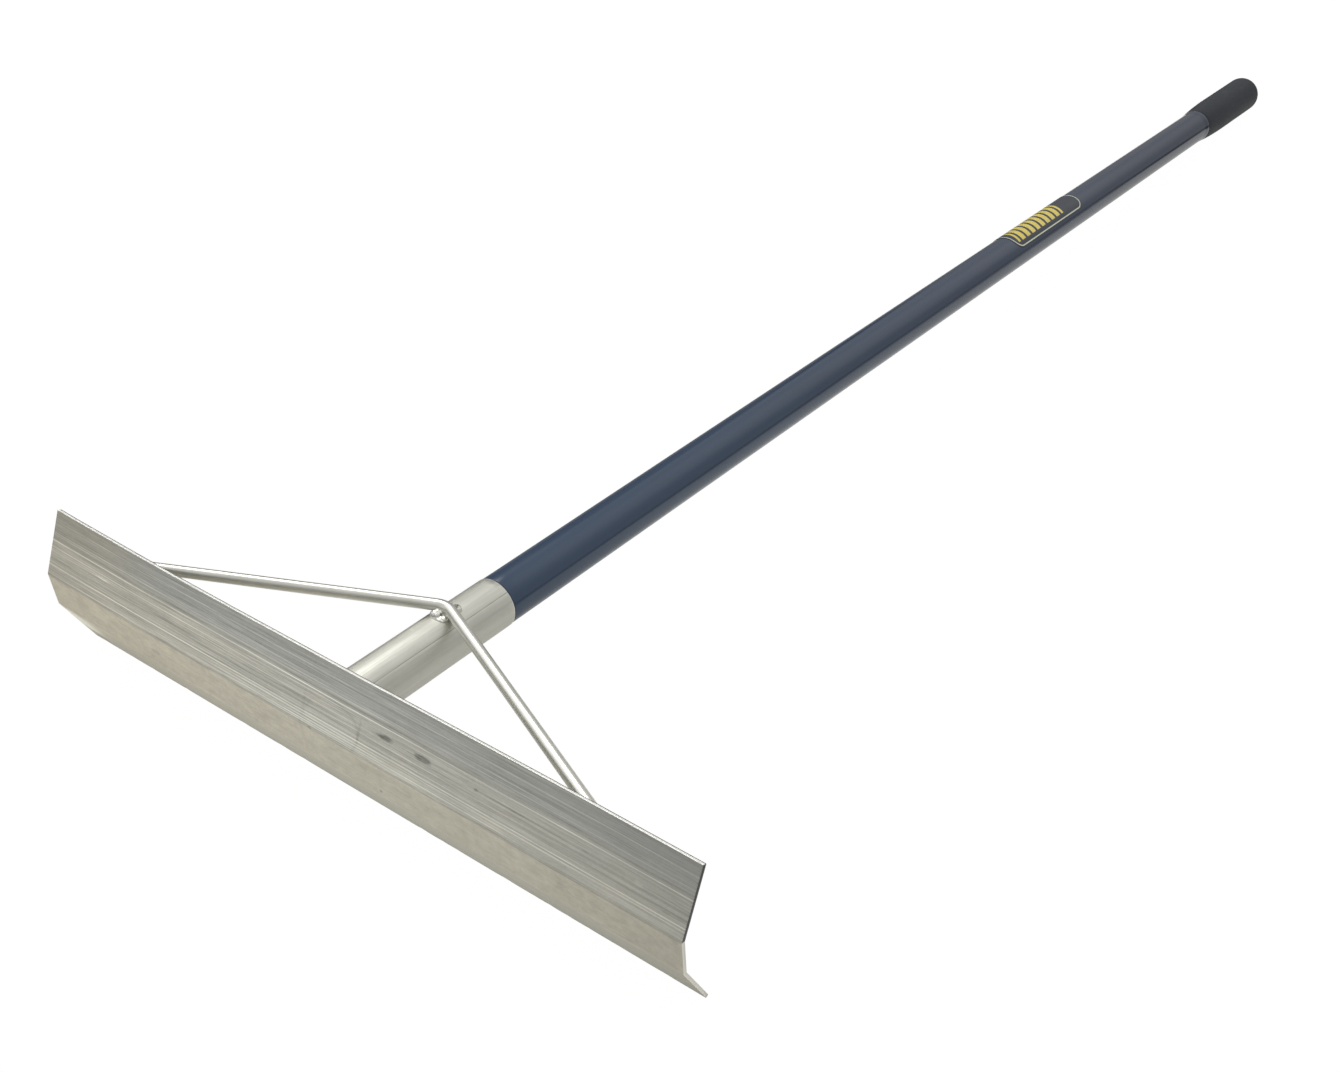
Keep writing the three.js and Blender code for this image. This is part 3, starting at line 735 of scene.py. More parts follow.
def melt(name, verts, faces):
    """Fuses overlapping lumps into one relaxed skin."""
    mesh = bpy.data.meshes.new(name + "_raw")
    mesh.from_pydata((verts / 1000.0).tolist(), [], faces)
    raw = bpy.data.objects.new(name + "_raw", mesh)
    bpy.context.scene.collection.objects.link(raw)
    remesh = raw.modifiers.new("melt", "REMESH")
    remesh.mode = "VOXEL"
    remesh.voxel_size = 0.32 / 1000.0
    remesh.adaptivity = 0.0
    relax = raw.modifiers.new("relax", "SMOOTH")
    relax.factor = 0.5
    relax.iterations = 6
    depsgraph = bpy.context.evaluated_depsgraph_get()
    made = bpy.data.meshes.new_from_object(raw.evaluated_get(depsgraph))
    points = np.zeros(len(made.vertices) * 3)
    made.vertices.foreach_get("co", points)
    polygons = [tuple(polygon.vertices) for polygon in made.polygons]
    bpy.data.objects.remove(raw)
    return points.reshape(-1, 3) * 1000.0, polygons


def build_lump(name, node, origin, lumps, hollows):
    """Weld metal: lumps melted together, hollows pressed in, then rippled."""
    verts, faces = np.zeros((0, 3)), []
    for offset, radii, tilt in lumps:
        points, polygons = ellipsoid(origin + offset, radii, tilt)
        faces += [tuple(i + len(verts) for i in polygon) for polygon in polygons]
        verts = np.vstack([verts, points])
    points, polygons = melt(name, verts, faces)
    out = points - points.mean(0)
    out /= np.linalg.norm(out, axis=1)[:, None]
    for offset, radii, depth in hollows:
        away = np.linalg.norm((points - (origin + offset)) / np.array(radii), axis=1)
        points = points - out * (depth * hump(away, 1.0))[:, None]
    x, h, n = points.T
    ripple = 0.10 * np.sin((x * 0.8 + h * 1.5 + n * 0.5) * 2.1)
    ripple += 0.10 * value_noise(x / 1.7 + 40, h / 1.7 + 40, 95)
    points = points + out * ripple[:, None]
    return make_part(name, node, (points, polygons), sharp=75.0)


# The two welds between the rod's apex and the socket. Offsets (x, h, n) are from
# the rod's near or far edge, on top of the socket.
# Lumps: offset, radii, tilt in degrees. Hollows: offset, radii, depth.
APEX_FRONT_LUMPS = (
    ((-2.2, -3.2, 0.5), (6.0, 4.8, 4.0), 18),
    ((2.6, -3.0, -0.1), (4.6, 3.7, 2.6), -20),
    ((-3.6, -0.6, 1.6), (3.6, 3.4, 3.6), 10),
    ((0.2, -6.6, -0.6), (6.4, 2.5, 1.9), 6),
    ((0.0, 1.5, 0.4), (6.6, 3.0, 2.6), 0),
)
APEX_FRONT_HOLLOWS = (
    ((2.6, -3.9, 2.2), (2.2, 1.7, 2.2), 1.7),
    ((-1.4, -4.6, 3.0), (1.5, 1.2, 1.8), 0.9),
)
APEX_REAR_LUMPS = (
    ((0.6, -1.0, 0.5), (6.0, 3.6, 3.4), 0),
    ((2.4, 1.9, -0.1), (4.4, 3.6, 2.7), 14),
    ((-1.6, 0.4, 0.2), (3.4, 2.8, 2.4), -12),
)
APEX_REAR_HOLLOWS = (((1.8, 1.2, 2.8), (2.4, 1.9, 2.2), 1.7),)


def build_apex_welds():
    near = np.array([0.0, ROD_APEX_H - ROD_R, AXIS + SOCKET_R])
    far = np.array([0.0, ROD_APEX_H + ROD_R, AXIS + SOCKET_R])
    return (
        build_lump("apex_weld_front", "weld_apex_front", near,
                   APEX_FRONT_LUMPS, APEX_FRONT_HOLLOWS),
        build_lump("apex_weld_rear", "weld_apex_rear", far,
                   APEX_REAR_LUMPS, APEX_REAR_HOLLOWS),
    )


# ----------------------------------------------------------------------- rivets
# Profiles are (radius, distance below the handle axis).
RIVET_SEAT = SOCKET_R + 0.3
RIVET_HEAD_R, RIVET_SHANK_R = 4.6, 2.4
RIVET_BODY = [
    (1.45, 13.4), (2.6, 13.4), (3.1, 13.9), (3.3, 14.4), (3.25, 15.0), (2.6, 15.6),
    (RIVET_SHANK_R, 16.0), (RIVET_SHANK_R, RIVET_SEAT - 0.25),
    (RIVET_HEAD_R - 0.25, RIVET_SEAT - 0.25), (RIVET_HEAD_R, RIVET_SEAT),
    *((RIVET_HEAD_R * math.cos(radians(angle)),
       RIVET_SEAT + 0.25 + 1.05 * math.sin(radians(angle))) for angle in range(0, 66, 6)),
    (1.62, RIVET_SEAT + 1.28), (1.45, RIVET_SEAT + 1.05),
]
RIVET_MANDREL = [
    (0.6, 11.05), (1.3, 11.3), (1.8, 11.8), (1.9, 12.4), (1.75, 12.9), (1.1, 13.1),
    (1.1, 20.7), (0.98, 20.98), (0.5, 21.12), (0.32, 20.9),
]


def build_rivet(where, at):
    """Blind rivet through the underside of the socket, with its mandrel."""
    def place(radius, below, angles):
        parts = (radius * np.sin(angles), at + radius * np.cos(angles), AXIS - below)
        return np.stack(np.broadcast_arrays(*parts), -1)

    segments = 64
    return (
        make_part("rivet_shell_" + where, "rivet_body_" + where,
                  turned(RIVET_BODY, segments, place), sharp=40.0),
        make_part("rivet_pin_" + where, "rivet_mandrel_" + where,
                  turned(RIVET_MANDREL, segments, place, capped=True), sharp=40.0),
    )


# ----------------------------------------------------------------- shader helpers
def arithmetic(kind):
    """The forward and reflected operators of one math node."""
    def forward(self, other):
        return self.shader.math(kind, self, other)

    def reflected(self, other):
        return self.shader.math(kind, other, self)

    return forward, reflected


class Signal:
    """A node's output; arithmetic on it makes math nodes."""

    __add__, __radd__ = arithmetic("ADD")
    __sub__, __rsub__ = arithmetic("SUBTRACT")
    __mul__, __rmul__ = arithmetic("MULTIPLY")
    __truediv__, __rtruediv__ = arithmetic("DIVIDE")
    __mod__, __rmod__ = arithmetic("MODULO")

    def __init__(self, shader, socket):
        self.shader, self.socket = shader, socket

    def apply(self, kind):
        return self.shader.math(kind, self)

    def __abs__(self):
        return self.apply("ABSOLUTE")

    def swing(self, amount):
        """A 0..1 signal centred on 0, amount from end to end."""
        return (self - 0.5) * amount

    def ramp(self, first, last, out=(0.0, 1.0), smooth=True):
        """Goes from out[0] at first to out[1] at last, and holds beyond."""
        inputs = {"Value": self, "From Min": first, "From Max": last,
                  "To Min": out[0], "To Max": out[1]}
        return self.shader.signal("Result", "ShaderNodeMapRange", inputs,
                                  interpolation_type="SMOOTHSTEP" if smooth else "LINEAR")

    def band(self, centre, half):
        """1 at centre, falling smoothly to 0 at half away."""
        return abs(self - centre).ramp(half, 0.0)


def ellipse(across, up, centre, radii):
    """Distance from centre, 1 on the ellipse of these radii."""
    across = (across - centre[0]) / radii[0]
    up = (up - centre[1]) / radii[1]
    return (across * across + up * up).apply("SQRT")


class Shader:
    """Builds the node tree of a material or world."""

    def __init__(self, owner):
        self.owner = owner
        owner.use_nodes = True
        self.tree = owner.node_tree
        self.tree.nodes.clear()

    def node(self, kind, inputs, **settings):
        """Inputs go by index or name; each is a number, a tuple or a Signal."""
        made = self.tree.nodes.new(kind)
        for key, value in settings.items():
            setattr(made, key, value)
        for key, value in inputs.items():
            socket = made.inputs[key]
            if isinstance(value, Signal):
                self.tree.links.new(value.socket, socket)
            elif isinstance(value, tuple) and socket.type == "RGBA":
                socket.default_value = (*value, 1.0)
            else:
                socket.default_value = value
        return made

    def signal(self, output, kind, inputs={}, **settings):
        return Signal(self, self.node(kind, inputs, **settings).outputs[output])

    def math(self, kind, *values):
        return self.signal(0, "ShaderNodeMath", dict(enumerate(values)), operation=kind)

    def geometry(self, output):
        return self.signal(output, "ShaderNodeNewGeometry")

    def camera_ray(self):
        return self.signal("Is Camera Ray", "ShaderNodeLightPath")

    def attribute(self, name):
        return self.signal("Fac", "ShaderNodeAttribute", attribute_name=name)

    def split(self, vector):
        made = self.node("ShaderNodeSeparateXYZ", {0: vector})
        return [Signal(self, output) for output in made.outputs]

    def xyz(self, *parts):
        return self.signal(0, "ShaderNodeCombineXYZ", dict(enumerate(parts)))

    def grey(self, value):
        return self.xyz(value, value, value)

    def noise(self, vector, scale=1.0, detail=3.0, rough=0.55, distort=0.0):
        """Noise at a vector, or at a tuple of three parts."""
        if isinstance(vector, tuple):
            vector = self.xyz(*vector)
        return self.signal("Fac", "ShaderNodeTexNoise", {
            "Vector": vector, "Scale": scale, "Detail": detail,
            "Roughness": rough, "Distortion": distort,
        })

    def drawn_noise(self, across, along, **settings):
        """Noise stretched along the handle; cells per mm across and along it."""
        return self.noise((self.x * across, self.h * along, self.n * across), **settings)

    def mix(self, amount, base, other, mode="MIX"):
        return self.signal(2, "ShaderNodeMix", {0: amount, 6: base, 7: other},
                           data_type="RGBA", blend_type=mode)

    def scale(self, colour, amount):
        return self.signal(0, "ShaderNodeVectorMath", {0: colour, 3: amount},
                           operation="SCALE")

    def bump(self, height, distance, strength):
        return self.signal(0, "ShaderNodeBump", {
            "Height": height, "Distance": distance, "Strength": strength,
        })

    def cross_tangent(self, axis):
        """Tangent square to the drawn lines, for their stretched highlight."""
        return self.signal(0, "ShaderNodeVectorMath",
                           {0: self.geometry("Normal"), 1: axis}, operation="CROSS_PRODUCT")

    def add_shaders(self, first, second):
        return self.signal(0, "ShaderNodeAddShader", {0: first, 1: second})

    # Tool-frame coordinates in millimetres, made where a material asks for them.
    @cached_property
    def place(self):
        """The object-space point, in metres."""
        return self.signal("Object", "ShaderNodeTexCoord")

    @cached_property
    def place_parts(self):
        return self.split(self.place)

    @cached_property
    def x(self):
        return self.place_parts[0] * 1000.0

    @cached_property
    def shifted(self):
        """Scene y and z from the tool frame's origin."""
        return (self.place_parts[1] * 1000.0 - SHIFT_Y,
                self.place_parts[2] * 1000.0 - SHIFT_Z)

    @cached_property
    def h(self):
        return self.shifted[0] * COS - self.shifted[1] * SIN

    @cached_property
    def n(self):
        return self.shifted[0] * SIN + self.shifted[1] * COS

    @cached_property
    def angle(self):
        """Degrees round the handle from the top, + towards +x."""
        return self.math("ARCTAN2", self.x, self.n - AXIS) * (180.0 / math.pi)

    def surface(self, colour, rough, metal, normal, spec=0.5, tangent=None, aniso=0.0):
        inputs = {"Base Color": colour, "Roughness": rough, "Metallic": metal,
                  "Specular IOR Level": spec, "Normal": normal}
        if tangent is not None:
            inputs.update({"Anisotropic": aniso, "Tangent": tangent})
        bsdf = self.signal(0, "ShaderNodeBsdfPrincipled", inputs)
        return self.output(bsdf)

    def output(self, shader):
        self.node("ShaderNodeOutputMaterial", {"Surface": shader})
        return self.owner


def new_shader(name):
    return Shader(bpy.data.materials.new(name))


# --------------------------------------------------------------- blade material
WHOLE = 400  # an x beyond the blade: the line has no end on that side
# Bright and dark lines on the front: distance down the strip, half width, gain
# (+ bright), and the x where it starts and ends
TONE_LINES = (
    (8.5, 0.6, 0.26, -WHOLE, WHOLE), (12.8, 1.6, -0.07, -120, WHOLE),
    (17.4, 0.5, 0.24, -WHOLE, WHOLE), (14.9, 0.5, 0.10, -60, WHOLE),
    (18.9, 0.55, 0.26, -WHOLE, 120), (21.2, 1.0, -0.14, -WHOLE, WHOLE),
    (23.4, 0.65, 0.62, -WHOLE, 60), (23.7, 0.55, 0.48, -60, WHOLE),
    (26.0, 0.5, 0.14, -200, 300), (28.4, 0.55, 0.34, -WHOLE, -40),
    (30.4, 0.55, 0.32, -WHOLE, -180), (31.6, 0.6, 0.28, -WHOLE, 30),
    (30.5, 1.2, -0.12, 120, 240), (33.9, 1.1, -0.12, -60, WHOLE),
    (35.8, 0.5, 0.16, -300, 200), (37.6, 1.3, -0.10, -WHOLE, WHOLE),
    (40.2, 0.5, 0.14, -WHOLE, WHOLE), (42.7, 0.6, 0.50, -WHOLE, WHOLE),
    (44.6, 0.55, 0.30, -100, WHOLE), (46.6, 0.6, 0.30, -110, 60),
    (48.4, 0.6, 0.42, -100, 160), (49.7, 0.5, 0.20, -300, 60),
    (50.9, 0.8, -0.20, -WHOLE, WHOLE), (52.2, 0.8, -0.22, -WHOLE, WHOLE),
    (81.4, 0.8, 0.12, -WHOLE, WHOLE), (83.2, 0.9, -0.14, -WHOLE, WHOLE),
    (104.0, 3.0, 0.06, -WHOLE, WHOLE), (131.4, 1.6, -0.42, -WHOLE, WHOLE),
)
# Dull (+) and bright (-) spots on the front: x, distance down the strip, radius
# in x, radius down the strip, strength
SPOTS = (
    (54.0, 30.2, 7.6, 2.3, 0.42), (48.0, 30.6, 9.0, 1.2, 0.10),
    (87.5, 30.2, 8.4, 2.5, 0.42), (80.0, 30.8, 7.0, 1.2, 0.10),
    (133.5, 30.6, 2.2, 1.2, 0.26), (-179.0, 68.4, 5.5, 2.6, 0.14),
    (-58.0, 66.8, 6.0, 3.2, 0.08), (50.6, 76.2, 1.5, 1.4, 0.30),
    (43.0, 60.6, 12.0, 5.5, 0.05), (285.0, 39.4, 3.6, 1.3, 0.10),
    (-238.0, 31.4, 9.0, 0.9, -0.34), (262.0, 32.0, 4.0, 2.0, -0.12),
    (-122.0, 80.0, 22.0, 1.5, -0.07), (240.0, 78.0, 20.0, 1.8, -0.09),
    (-243.0, 64.0, 16.0, 9.0, -0.06), (180.0, 70.0, 30.0, 3.0, -0.05),
    (-21.5, 45.0, 1.6, 26.0, 0.055), (31.0, 36.0, 1.3, 10.0, 0.12),
    (-20.0, 68.0, 1.6, 14.0, 0.05), (-262.0, 60.0, 8.0, 9.0, 0.05),
    (222.0, 30.3, 3.0, 0.8, 0.12), (-12.0, 52.0, 2.0, 1.4, 0.18),
)


def add_tone_lines(mat, shade, run, front):
    x = mat.x
    wavy = [run + mat.noise((x * 0.006, k * 1.7, 2.0), detail=2.0).swing(0.7) for k in range(3)]
    patches = [
        mat.noise((x * 0.014, k * 2.3, 5.0)).ramp(0.28, 0.62, out=(0.35, 1.0)) * front
        for k in range(5)
    ]
    fade = 35
    for k, (place, half, gain, start, end) in enumerate(TONE_LINES):
        mark = wavy[k % 3].band(place, half + 0.1) * patches[k % 5]
        if start > -WHOLE:
            mark = mark * x.ramp(start - fade, start + fade)
        if end < WHOLE:
            mark = mark * x.ramp(end + fade, end - fade)
        shade = shade + mark * (gain * 1.35)
    return shade


def spot_dullness(mat, run, front):
    dull = 0.0
    warp = mat.noise((mat.x * 0.16, run * 0.5, 9.0)).swing(0.9)
    for x, place, radius_x, radius_run, strength in SPOTS:
        away = ellipse(mat.x, run, (x, place), (radius_x, radius_run))
        dull = dull + (away + warp).ramp(1.15, 0.55) * strength * front
    return dull


def add_heat_mark(mat, shade, run, upper, front):
    """Mark left on the face by the socket weld behind it: pale, with a dark edge."""
    x = mat.x
    ring = ellipse(x, run, centre=(6.0, 42.0), radii=(25.5, 17.5))
    ring = ring + mat.noise((x * 0.07, run * 0.09, 21.0), detail=2.0).swing(0.20)
    edge = ring.band(1.0, 0.09) * x.ramp(-14, 18, out=(0.35, 1.0)) * (upper * front)
    inside = ring.ramp(1.05, 0.80) * 0.05 * (upper * front)
    return shade + inside - edge * 0.10


def add_broad_tone(mat, shade, run, side, upper, lip):
    """Slow changes of brightness up and along the blade, partly painted light."""
    x = mat.x
    # darker towards the top edge
    climb = run.ramp(-2.0, 16.0, out=(0.68, 0.76), smooth=False) + (
        run.ramp(16.0, 30.0, out=(0.0, 0.13)) + run.ramp(40.0, 49.0, out=(0.0, 0.09)))
    climb = mat.mix(upper, (1.0, 1.0, 1.0), mat.grey(climb))
    # painted light: a little lighter about the middle of the blade
    far_out = (x + 20.0) / 290.0
    shade = shade * (1.04 - far_out * far_out * 0.17)
    shade = shade * mat.signal(0, "ShaderNodeSeparateColor", {0: climb})
    # the lip's left end catches the light, dark below its glint
    shade = shade * (1.0 + lip * x.ramp(-248, -292) * 0.30)
    left_end = lip * x.ramp(-262, -286) * side.ramp(0.5, 0.3)
    glint = run.ramp(84.0, 90.0) * run.ramp(116.0, 108.0)
    return shade + left_end * (glint * 0.40 - run.ramp(112.0, 122.0) * 0.34)


def blade_material():
    mat = new_shader("blade_alloy_mill")
    x = mat.x
    run, side = mat.attribute("s"), mat.attribute("side")
    front = side.ramp(0.3, 0.1)
    # masks of the three flats
    upper = run.ramp(51.2, 52.4, out=(1.0, 0.0))
    lip = run.ramp(81.6, 82.8)
    middle = 1.0 - upper - lip
    # drawn streaks: long along x, fine across the strip
    coarse = mat.noise((x * 0.0030, run * 0.24, side), rough=0.6)
    fine = mat.noise((x * 0.0085, run * 0.95, side + 7.0), detail=4.0, rough=0.68)
    hair = mat.noise((x * 0.022, run * 2.3, side + 13.0), detail=4.0, rough=0.7)
    # blotches, small to large
    grain = mat.noise((x * 0.42, run * 0.85, side), detail=4.0, rough=0.75)
    mottle = mat.noise((x * 0.10, run * 0.16, side + 57.0), detail=4.0, rough=0.65, distort=0.3)
    blot = mat.noise((x * 0.045, run * 0.07, side + 31.0), detail=4.0, rough=0.6, distort=0.4)
    cloud = mat.noise((x * 0.022, run * 0.055, side + 3.0))

    # streaks are strongest on the upper flat and fade to both ends
    gain = upper * 1.0 + middle * 0.30 + lip * 0.45
    streak = coarse.swing(0.34) + fine.swing(1.30) + hair.swing(1.70)
    shade = 1.0 + streak * gain * (
        x.ramp(60, 250, out=(1.0, 0.60)) * x.ramp(-180, -280, out=(1.0, 0.75)))
    shade = add_tone_lines(mat, shade, run, front)
    # clouding and stains, stronger on the two lower flats
    shade = shade + cloud.swing(0.12 + middle * 0.10) + grain.swing(0.34)
    shade = shade + mottle.swing(0.16 + middle * 0.26)
    shade = shade - blot.ramp(0.60, 0.74) * (middle * 0.10 + lip * 0.06)
    dull = spot_dullness(mat, run, front)
    shade = add_heat_mark(mat, shade - dull, run, upper, front)
    shade = add_broad_tone(mat, shade, run, side, upper, lip)

    # cool grey above, warm beige in the middle, greener on the lip, warmer to the left; the lighter
    # middle and lip are partly painted light for the bright floor they reflect
    base = mat.mix(upper, (0.680, 0.655, 0.572), (0.600, 0.600, 0.560))
    base = mat.mix(lip, base, (0.680, 0.668, 0.580))
    warmer = mat.mix(1.0, base, (1.08, 1.0, 0.90), "MULTIPLY")
    base = mat.mix(x.ramp(40, -320, out=(0.0, 0.45)), base, warmer)
    base = mat.mix(cloud.ramp(0.45, 0.75) * 0.30, base, (0.66, 0.625, 0.545))
    base = mat.mix(mottle.ramp(0.60, 0.36) * middle * 0.28, base, (0.640, 0.600, 0.520))
    crown = run.ramp(26.0, 15.0) * x.ramp(-250, -170)
    base = mat.mix(crown * 0.8, base, (0.590, 0.602, 0.590))
    # specks of dirt, and bare metal on worn edges
    shade = shade - mat.noise(mat.place, scale=620.0, rough=0.6).ramp(0.66, 0.80) * 0.10
    worn = mat.geometry("Pointiness").ramp(0.515, 0.56)
    base = mat.mix(worn * 0.55, base, (0.78, 0.77, 0.72))
    colour = mat.scale(base, shade)
    # the sawn ends: painted shade on the upper flat's end face, a painted highlight on the end
    # faces below it
    sawn = abs(mat.split(mat.geometry("Normal"))[0]).ramp(0.6, 0.85)
    colour = mat.mix(sawn * upper, colour, (0.125, 0.125, 0.130))
    colour = mat.mix(sawn * (1.0 - upper) * 0.9, colour, (0.985, 0.965, 0.905))
    # painted highlight along the top edge, and painted shade along the rounded back edge behind it
    top_edge_highlight = run.ramp(0.9, 0.2) * side.ramp(0.0, 0.06) * side.ramp(0.70, 0.60)
    top_edge_highlight = top_edge_highlight * (1.0 - sawn)
    colour = mat.mix(top_edge_highlight, colour, (0.985, 0.98, 0.955))
    back_edge_shade = side.ramp(0.62, 0.74) * run.ramp(2.2, 0.8)
    colour = mat.mix(back_edge_shade * 0.85, colour, (0.12, 0.12, 0.12))

    rough = 0.36 + cloud.swing(0.14) + dull * 0.35 + middle * 0.05 + top_edge_highlight * 0.22 - worn * 0.08
    height = (fine * 0.5 + hair * 0.35 + grain * 0.10) * gain
    return mat.surface(
        colour, rough, metal=0.94 - side.ramp(0.6, 0.9) * 0.42,
        normal=mat.bump(height, distance=0.00009, strength=0.8),
        tangent=mat.cross_tangent((1.0, 0.0, 0.0)), aniso=0.45,
    )


# -------------------------------------------------------------- other materials
# Fainter lines beside the socket's draw line: degrees from the top, half width, gain
SOCKET_LINES = (
    (12.0, 1.0, 0.06), (20.5, 0.9, 0.08), (24.5, 0.8, -0.07), (30.0, 1.0, 0.07),
    (34.5, 0.9, -0.06), (-12.0, 2.0, -0.04), (58.0, 2.5, 0.03),
)


def add_socket_lines_and_highlights(mat, shade, hair):
    h, angle = mat.h, mat.angle
    wander = mat.noise((h * 0.02, 3.0, 1.0), detail=2.0).swing(0.8)
    draw_line = (angle + wander).band(40.3, 1.05)
    faint = mat.noise((h * 0.05, 8.0, 1.0), detail=2.0).ramp(0.3, 0.6, out=(0.55, 1.0))
    shade = shade - draw_line * faint * 0.62
    for place, half, gain in SOCKET_LINES:
        shade = shade + (angle + wander).band(place, half) * gain
    # painted highlights: a bright patch on top near the blade, a pale band beside it, a pale end
    # rim
    socket_top_highlight = angle.ramp(-14.0, 4.0) * angle.ramp(34.0, 12.0) * h.ramp(136.0, 62.0)
    shade = shade + socket_top_highlight * (0.16 + hair.swing(0.8))
    shade = shade + angle.band(-17.0, 15.0) * 0.30
    return shade + h.ramp(172.9, 174.2) * 0.30


def tube_material(name, base, base_rough, marked):
    """Drawn aluminium tube; marked adds the socket's lines and its painted highlights."""
    mat = new_shader(name)
    long = mat.drawn_noise(across=0.55, along=0.010, detail=4.0, rough=0.62)
    hair = mat.drawn_noise(across=2.4, along=0.035, rough=0.6)
    cloud = mat.drawn_noise(across=0.06, along=0.035)
    grain = mat.noise(mat.place, scale=900.0, rough=0.6)
    pit = mat.noise(mat.place, scale=420.0, detail=2.0, rough=0.5).ramp(0.70, 0.78)
    shade = 1.0 + long.swing(0.26) + hair.swing(0.22) + cloud.swing(0.16) + grain.swing(0.06)
    shade = shade - pit * 0.07
    if marked:
        shade = add_socket_lines_and_highlights(mat, shade, hair)
    cool = mat.mix(1.0, base, (0.985, 0.995, 1.02), "MULTIPLY")
    colour = mat.scale(mat.mix(cloud, base, cool), shade)
    # bare metal where an edge is worn
    worn = mat.geometry("Pointiness").ramp(0.53, 0.60)
    return mat.surface(
        mat.mix(worn * 0.6, colour, (0.86, 0.86, 0.82)),
        base_rough + cloud.swing(0.06) + hair.swing(0.06), metal=0.96,
        normal=mat.bump(long * 0.6 + hair * 0.4, distance=0.00007, strength=0.7),
        tangent=mat.cross_tangent(HANDLE_DIR), aniso=0.6,
    )


def rod_material():
    mat = new_shader("rod_alloy_bright")
    along = mat.attribute("along")
    hair = mat.noise(mat.place, scale=1500.0, rough=0.6)
    cloud = mat.noise(mat.place, scale=55.0)
    draw = mat.noise((along * 0.012, mat.n * 1.3, mat.h * 0.25), rough=0.6)
    scuff = mat.noise((along * 0.30, 4.0, mat.n * 0.8), detail=4.0, rough=0.7).ramp(0.66, 0.74)
    shade = 1.0 + draw.swing(0.14) + cloud.swing(0.14) + hair.swing(0.05) - scuff * 0.10
    return mat.surface(
        mat.scale((0.80, 0.80, 0.755), shade),
        0.31 + cloud.swing(0.10) + scuff * 0.12, metal=0.88,
        normal=mat.bump(draw * 0.5 + hair * 0.2, distance=0.00006, strength=0.6),
    )


# Painted shadow in the hollows of the apex welds: centre (x, h), radii, strength
WELD_POCKET_SHADOWS = (
    ((1.9, ROD_APEX_H + ROD_R + 1.7), (3.0, 1.9), 0.88),
    ((2.6, ROD_APEX_H - ROD_R - 3.6), (1.9, 1.5), 0.60),
)


def weld_material():
    mat = new_shader("weld_alloy_rippled")
    cloud = mat.noise(mat.place, scale=260.0, rough=0.6)
    grain = mat.noise(mat.place, scale=1900.0, rough=0.6)
    soot = mat.noise(mat.place, scale=150.0, detail=4.0, rough=0.65).ramp(0.54, 0.72)
    colour = mat.scale((0.82, 0.81, 0.765), 1.0 + cloud.swing(0.22))
    colour = mat.mix(soot * 0.28, colour, (0.42, 0.40, 0.36))
    for centre, radii, strength in WELD_POCKET_SHADOWS:
        pocket_shadow = ellipse(mat.x, mat.h, centre, radii).ramp(1.1, 0.75)
        colour = mat.mix(pocket_shadow * strength, colour, (0.10, 0.10, 0.09))
    return mat.surface(
        colour, 0.17 + cloud.swing(0.10) + soot * 0.22, metal=0.96,
        normal=mat.bump(grain * 0.4 + cloud * 0.6, distance=0.00018, strength=0.7),
    )


def sleeve_material():
    mat = new_shader("sleeve_plastic_navy")
    h, angle = mat.h, mat.angle
    long = mat.drawn_noise(across=0.22, along=0.006)
    cloud = mat.drawn_noise(across=0.05, along=0.012)
    scratch = mat.drawn_noise(across=0.9, along=0.045, detail=4.0, rough=0.7).ramp(0.70, 0.76)
    rub = mat.drawn_noise(across=0.10, along=0.022, rough=0.6).ramp(0.52, 0.72)
    peel = mat.noise(mat.place, scale=260.0, detail=2.0, rough=0.5)
    speck = mat.noise(mat.place, scale=1150.0, detail=2.0, rough=0.5).ramp(0.735, 0.80)
    # navy, darker towards the grip as painted shade for the light falling off along the handle
    base = mat.mix(cloud, (0.047, 0.078, 0.136), (0.042, 0.072, 0.130))
    light_falloff = h.ramp(250, 1560, out=(0.0, 0.95), smooth=False)
    base = mat.mix(light_falloff, base, (0.031, 0.041, 0.077))
    colour = mat.scale(base, 1.0 + long.swing(0.16) + peel.swing(0.05))
    colour = mat.mix(scratch * 0.10, colour, (0.16, 0.18, 0.23))
    colour = mat.mix(speck * 0.25, colour, (0.22, 0.24, 0.28))
    # a dark rubbed line down the right side, wider and duller towards the grip
    depth = h.ramp(200, 900, out=(0.20, 0.40), smooth=False)
    depth = depth + h.ramp(1250, 1500, out=(0.0, 0.34))
    wander = mat.noise((h * 0.004, 3.0, 9.0), detail=2.0).swing(0.8)
    path = h.ramp(300, 1180, out=(71.8, 68.0))
    path = path + h.ramp(1230, 1560, out=(0.0, 7.4), smooth=False)
    half = h.ramp(300, 1200, out=(4.2, 5.0)) + h.ramp(1250, 1500, out=(0.0, 2.6))
    groove = (abs(angle + wander - path) / half).ramp(1.0, 0.25)
    colour = mat.mix(groove * depth, colour, (0.004, 0.010, 0.034))
    gloss = 0.5 - groove * h.ramp(900, 1480, out=(0.14, 0.43))
    # less gloss along the top near the grip
    crown = angle.ramp(-8.0, 6.0) * angle.ramp(62.0, 40.0) * h.ramp(1000, 1560)
    gloss = gloss - crown * 0.17
    # one pale nick near the socket, and a painted highlight on the flare's end
    nick = ellipse(angle, h, centre=(-31.0, 232.0), radii=(1.6, 1.0)).ramp(1.3, 0.5)
    colour = mat.mix(nick * 0.9, colour, (0.62, 0.66, 0.70))
    colour = mat.mix(h.ramp(1563.0, 1568.0) * 0.5, colour, (0.085, 0.095, 0.135))
    height = peel * 0.35 + long * 0.9 - scratch * 0.15
    return mat.surface(
        colour, 0.13 + rub * 0.05 + scratch * 0.12 + long.swing(0.05), metal=0.0, spec=gloss,
        normal=mat.bump(height, distance=0.00010, strength=0.55),
    )


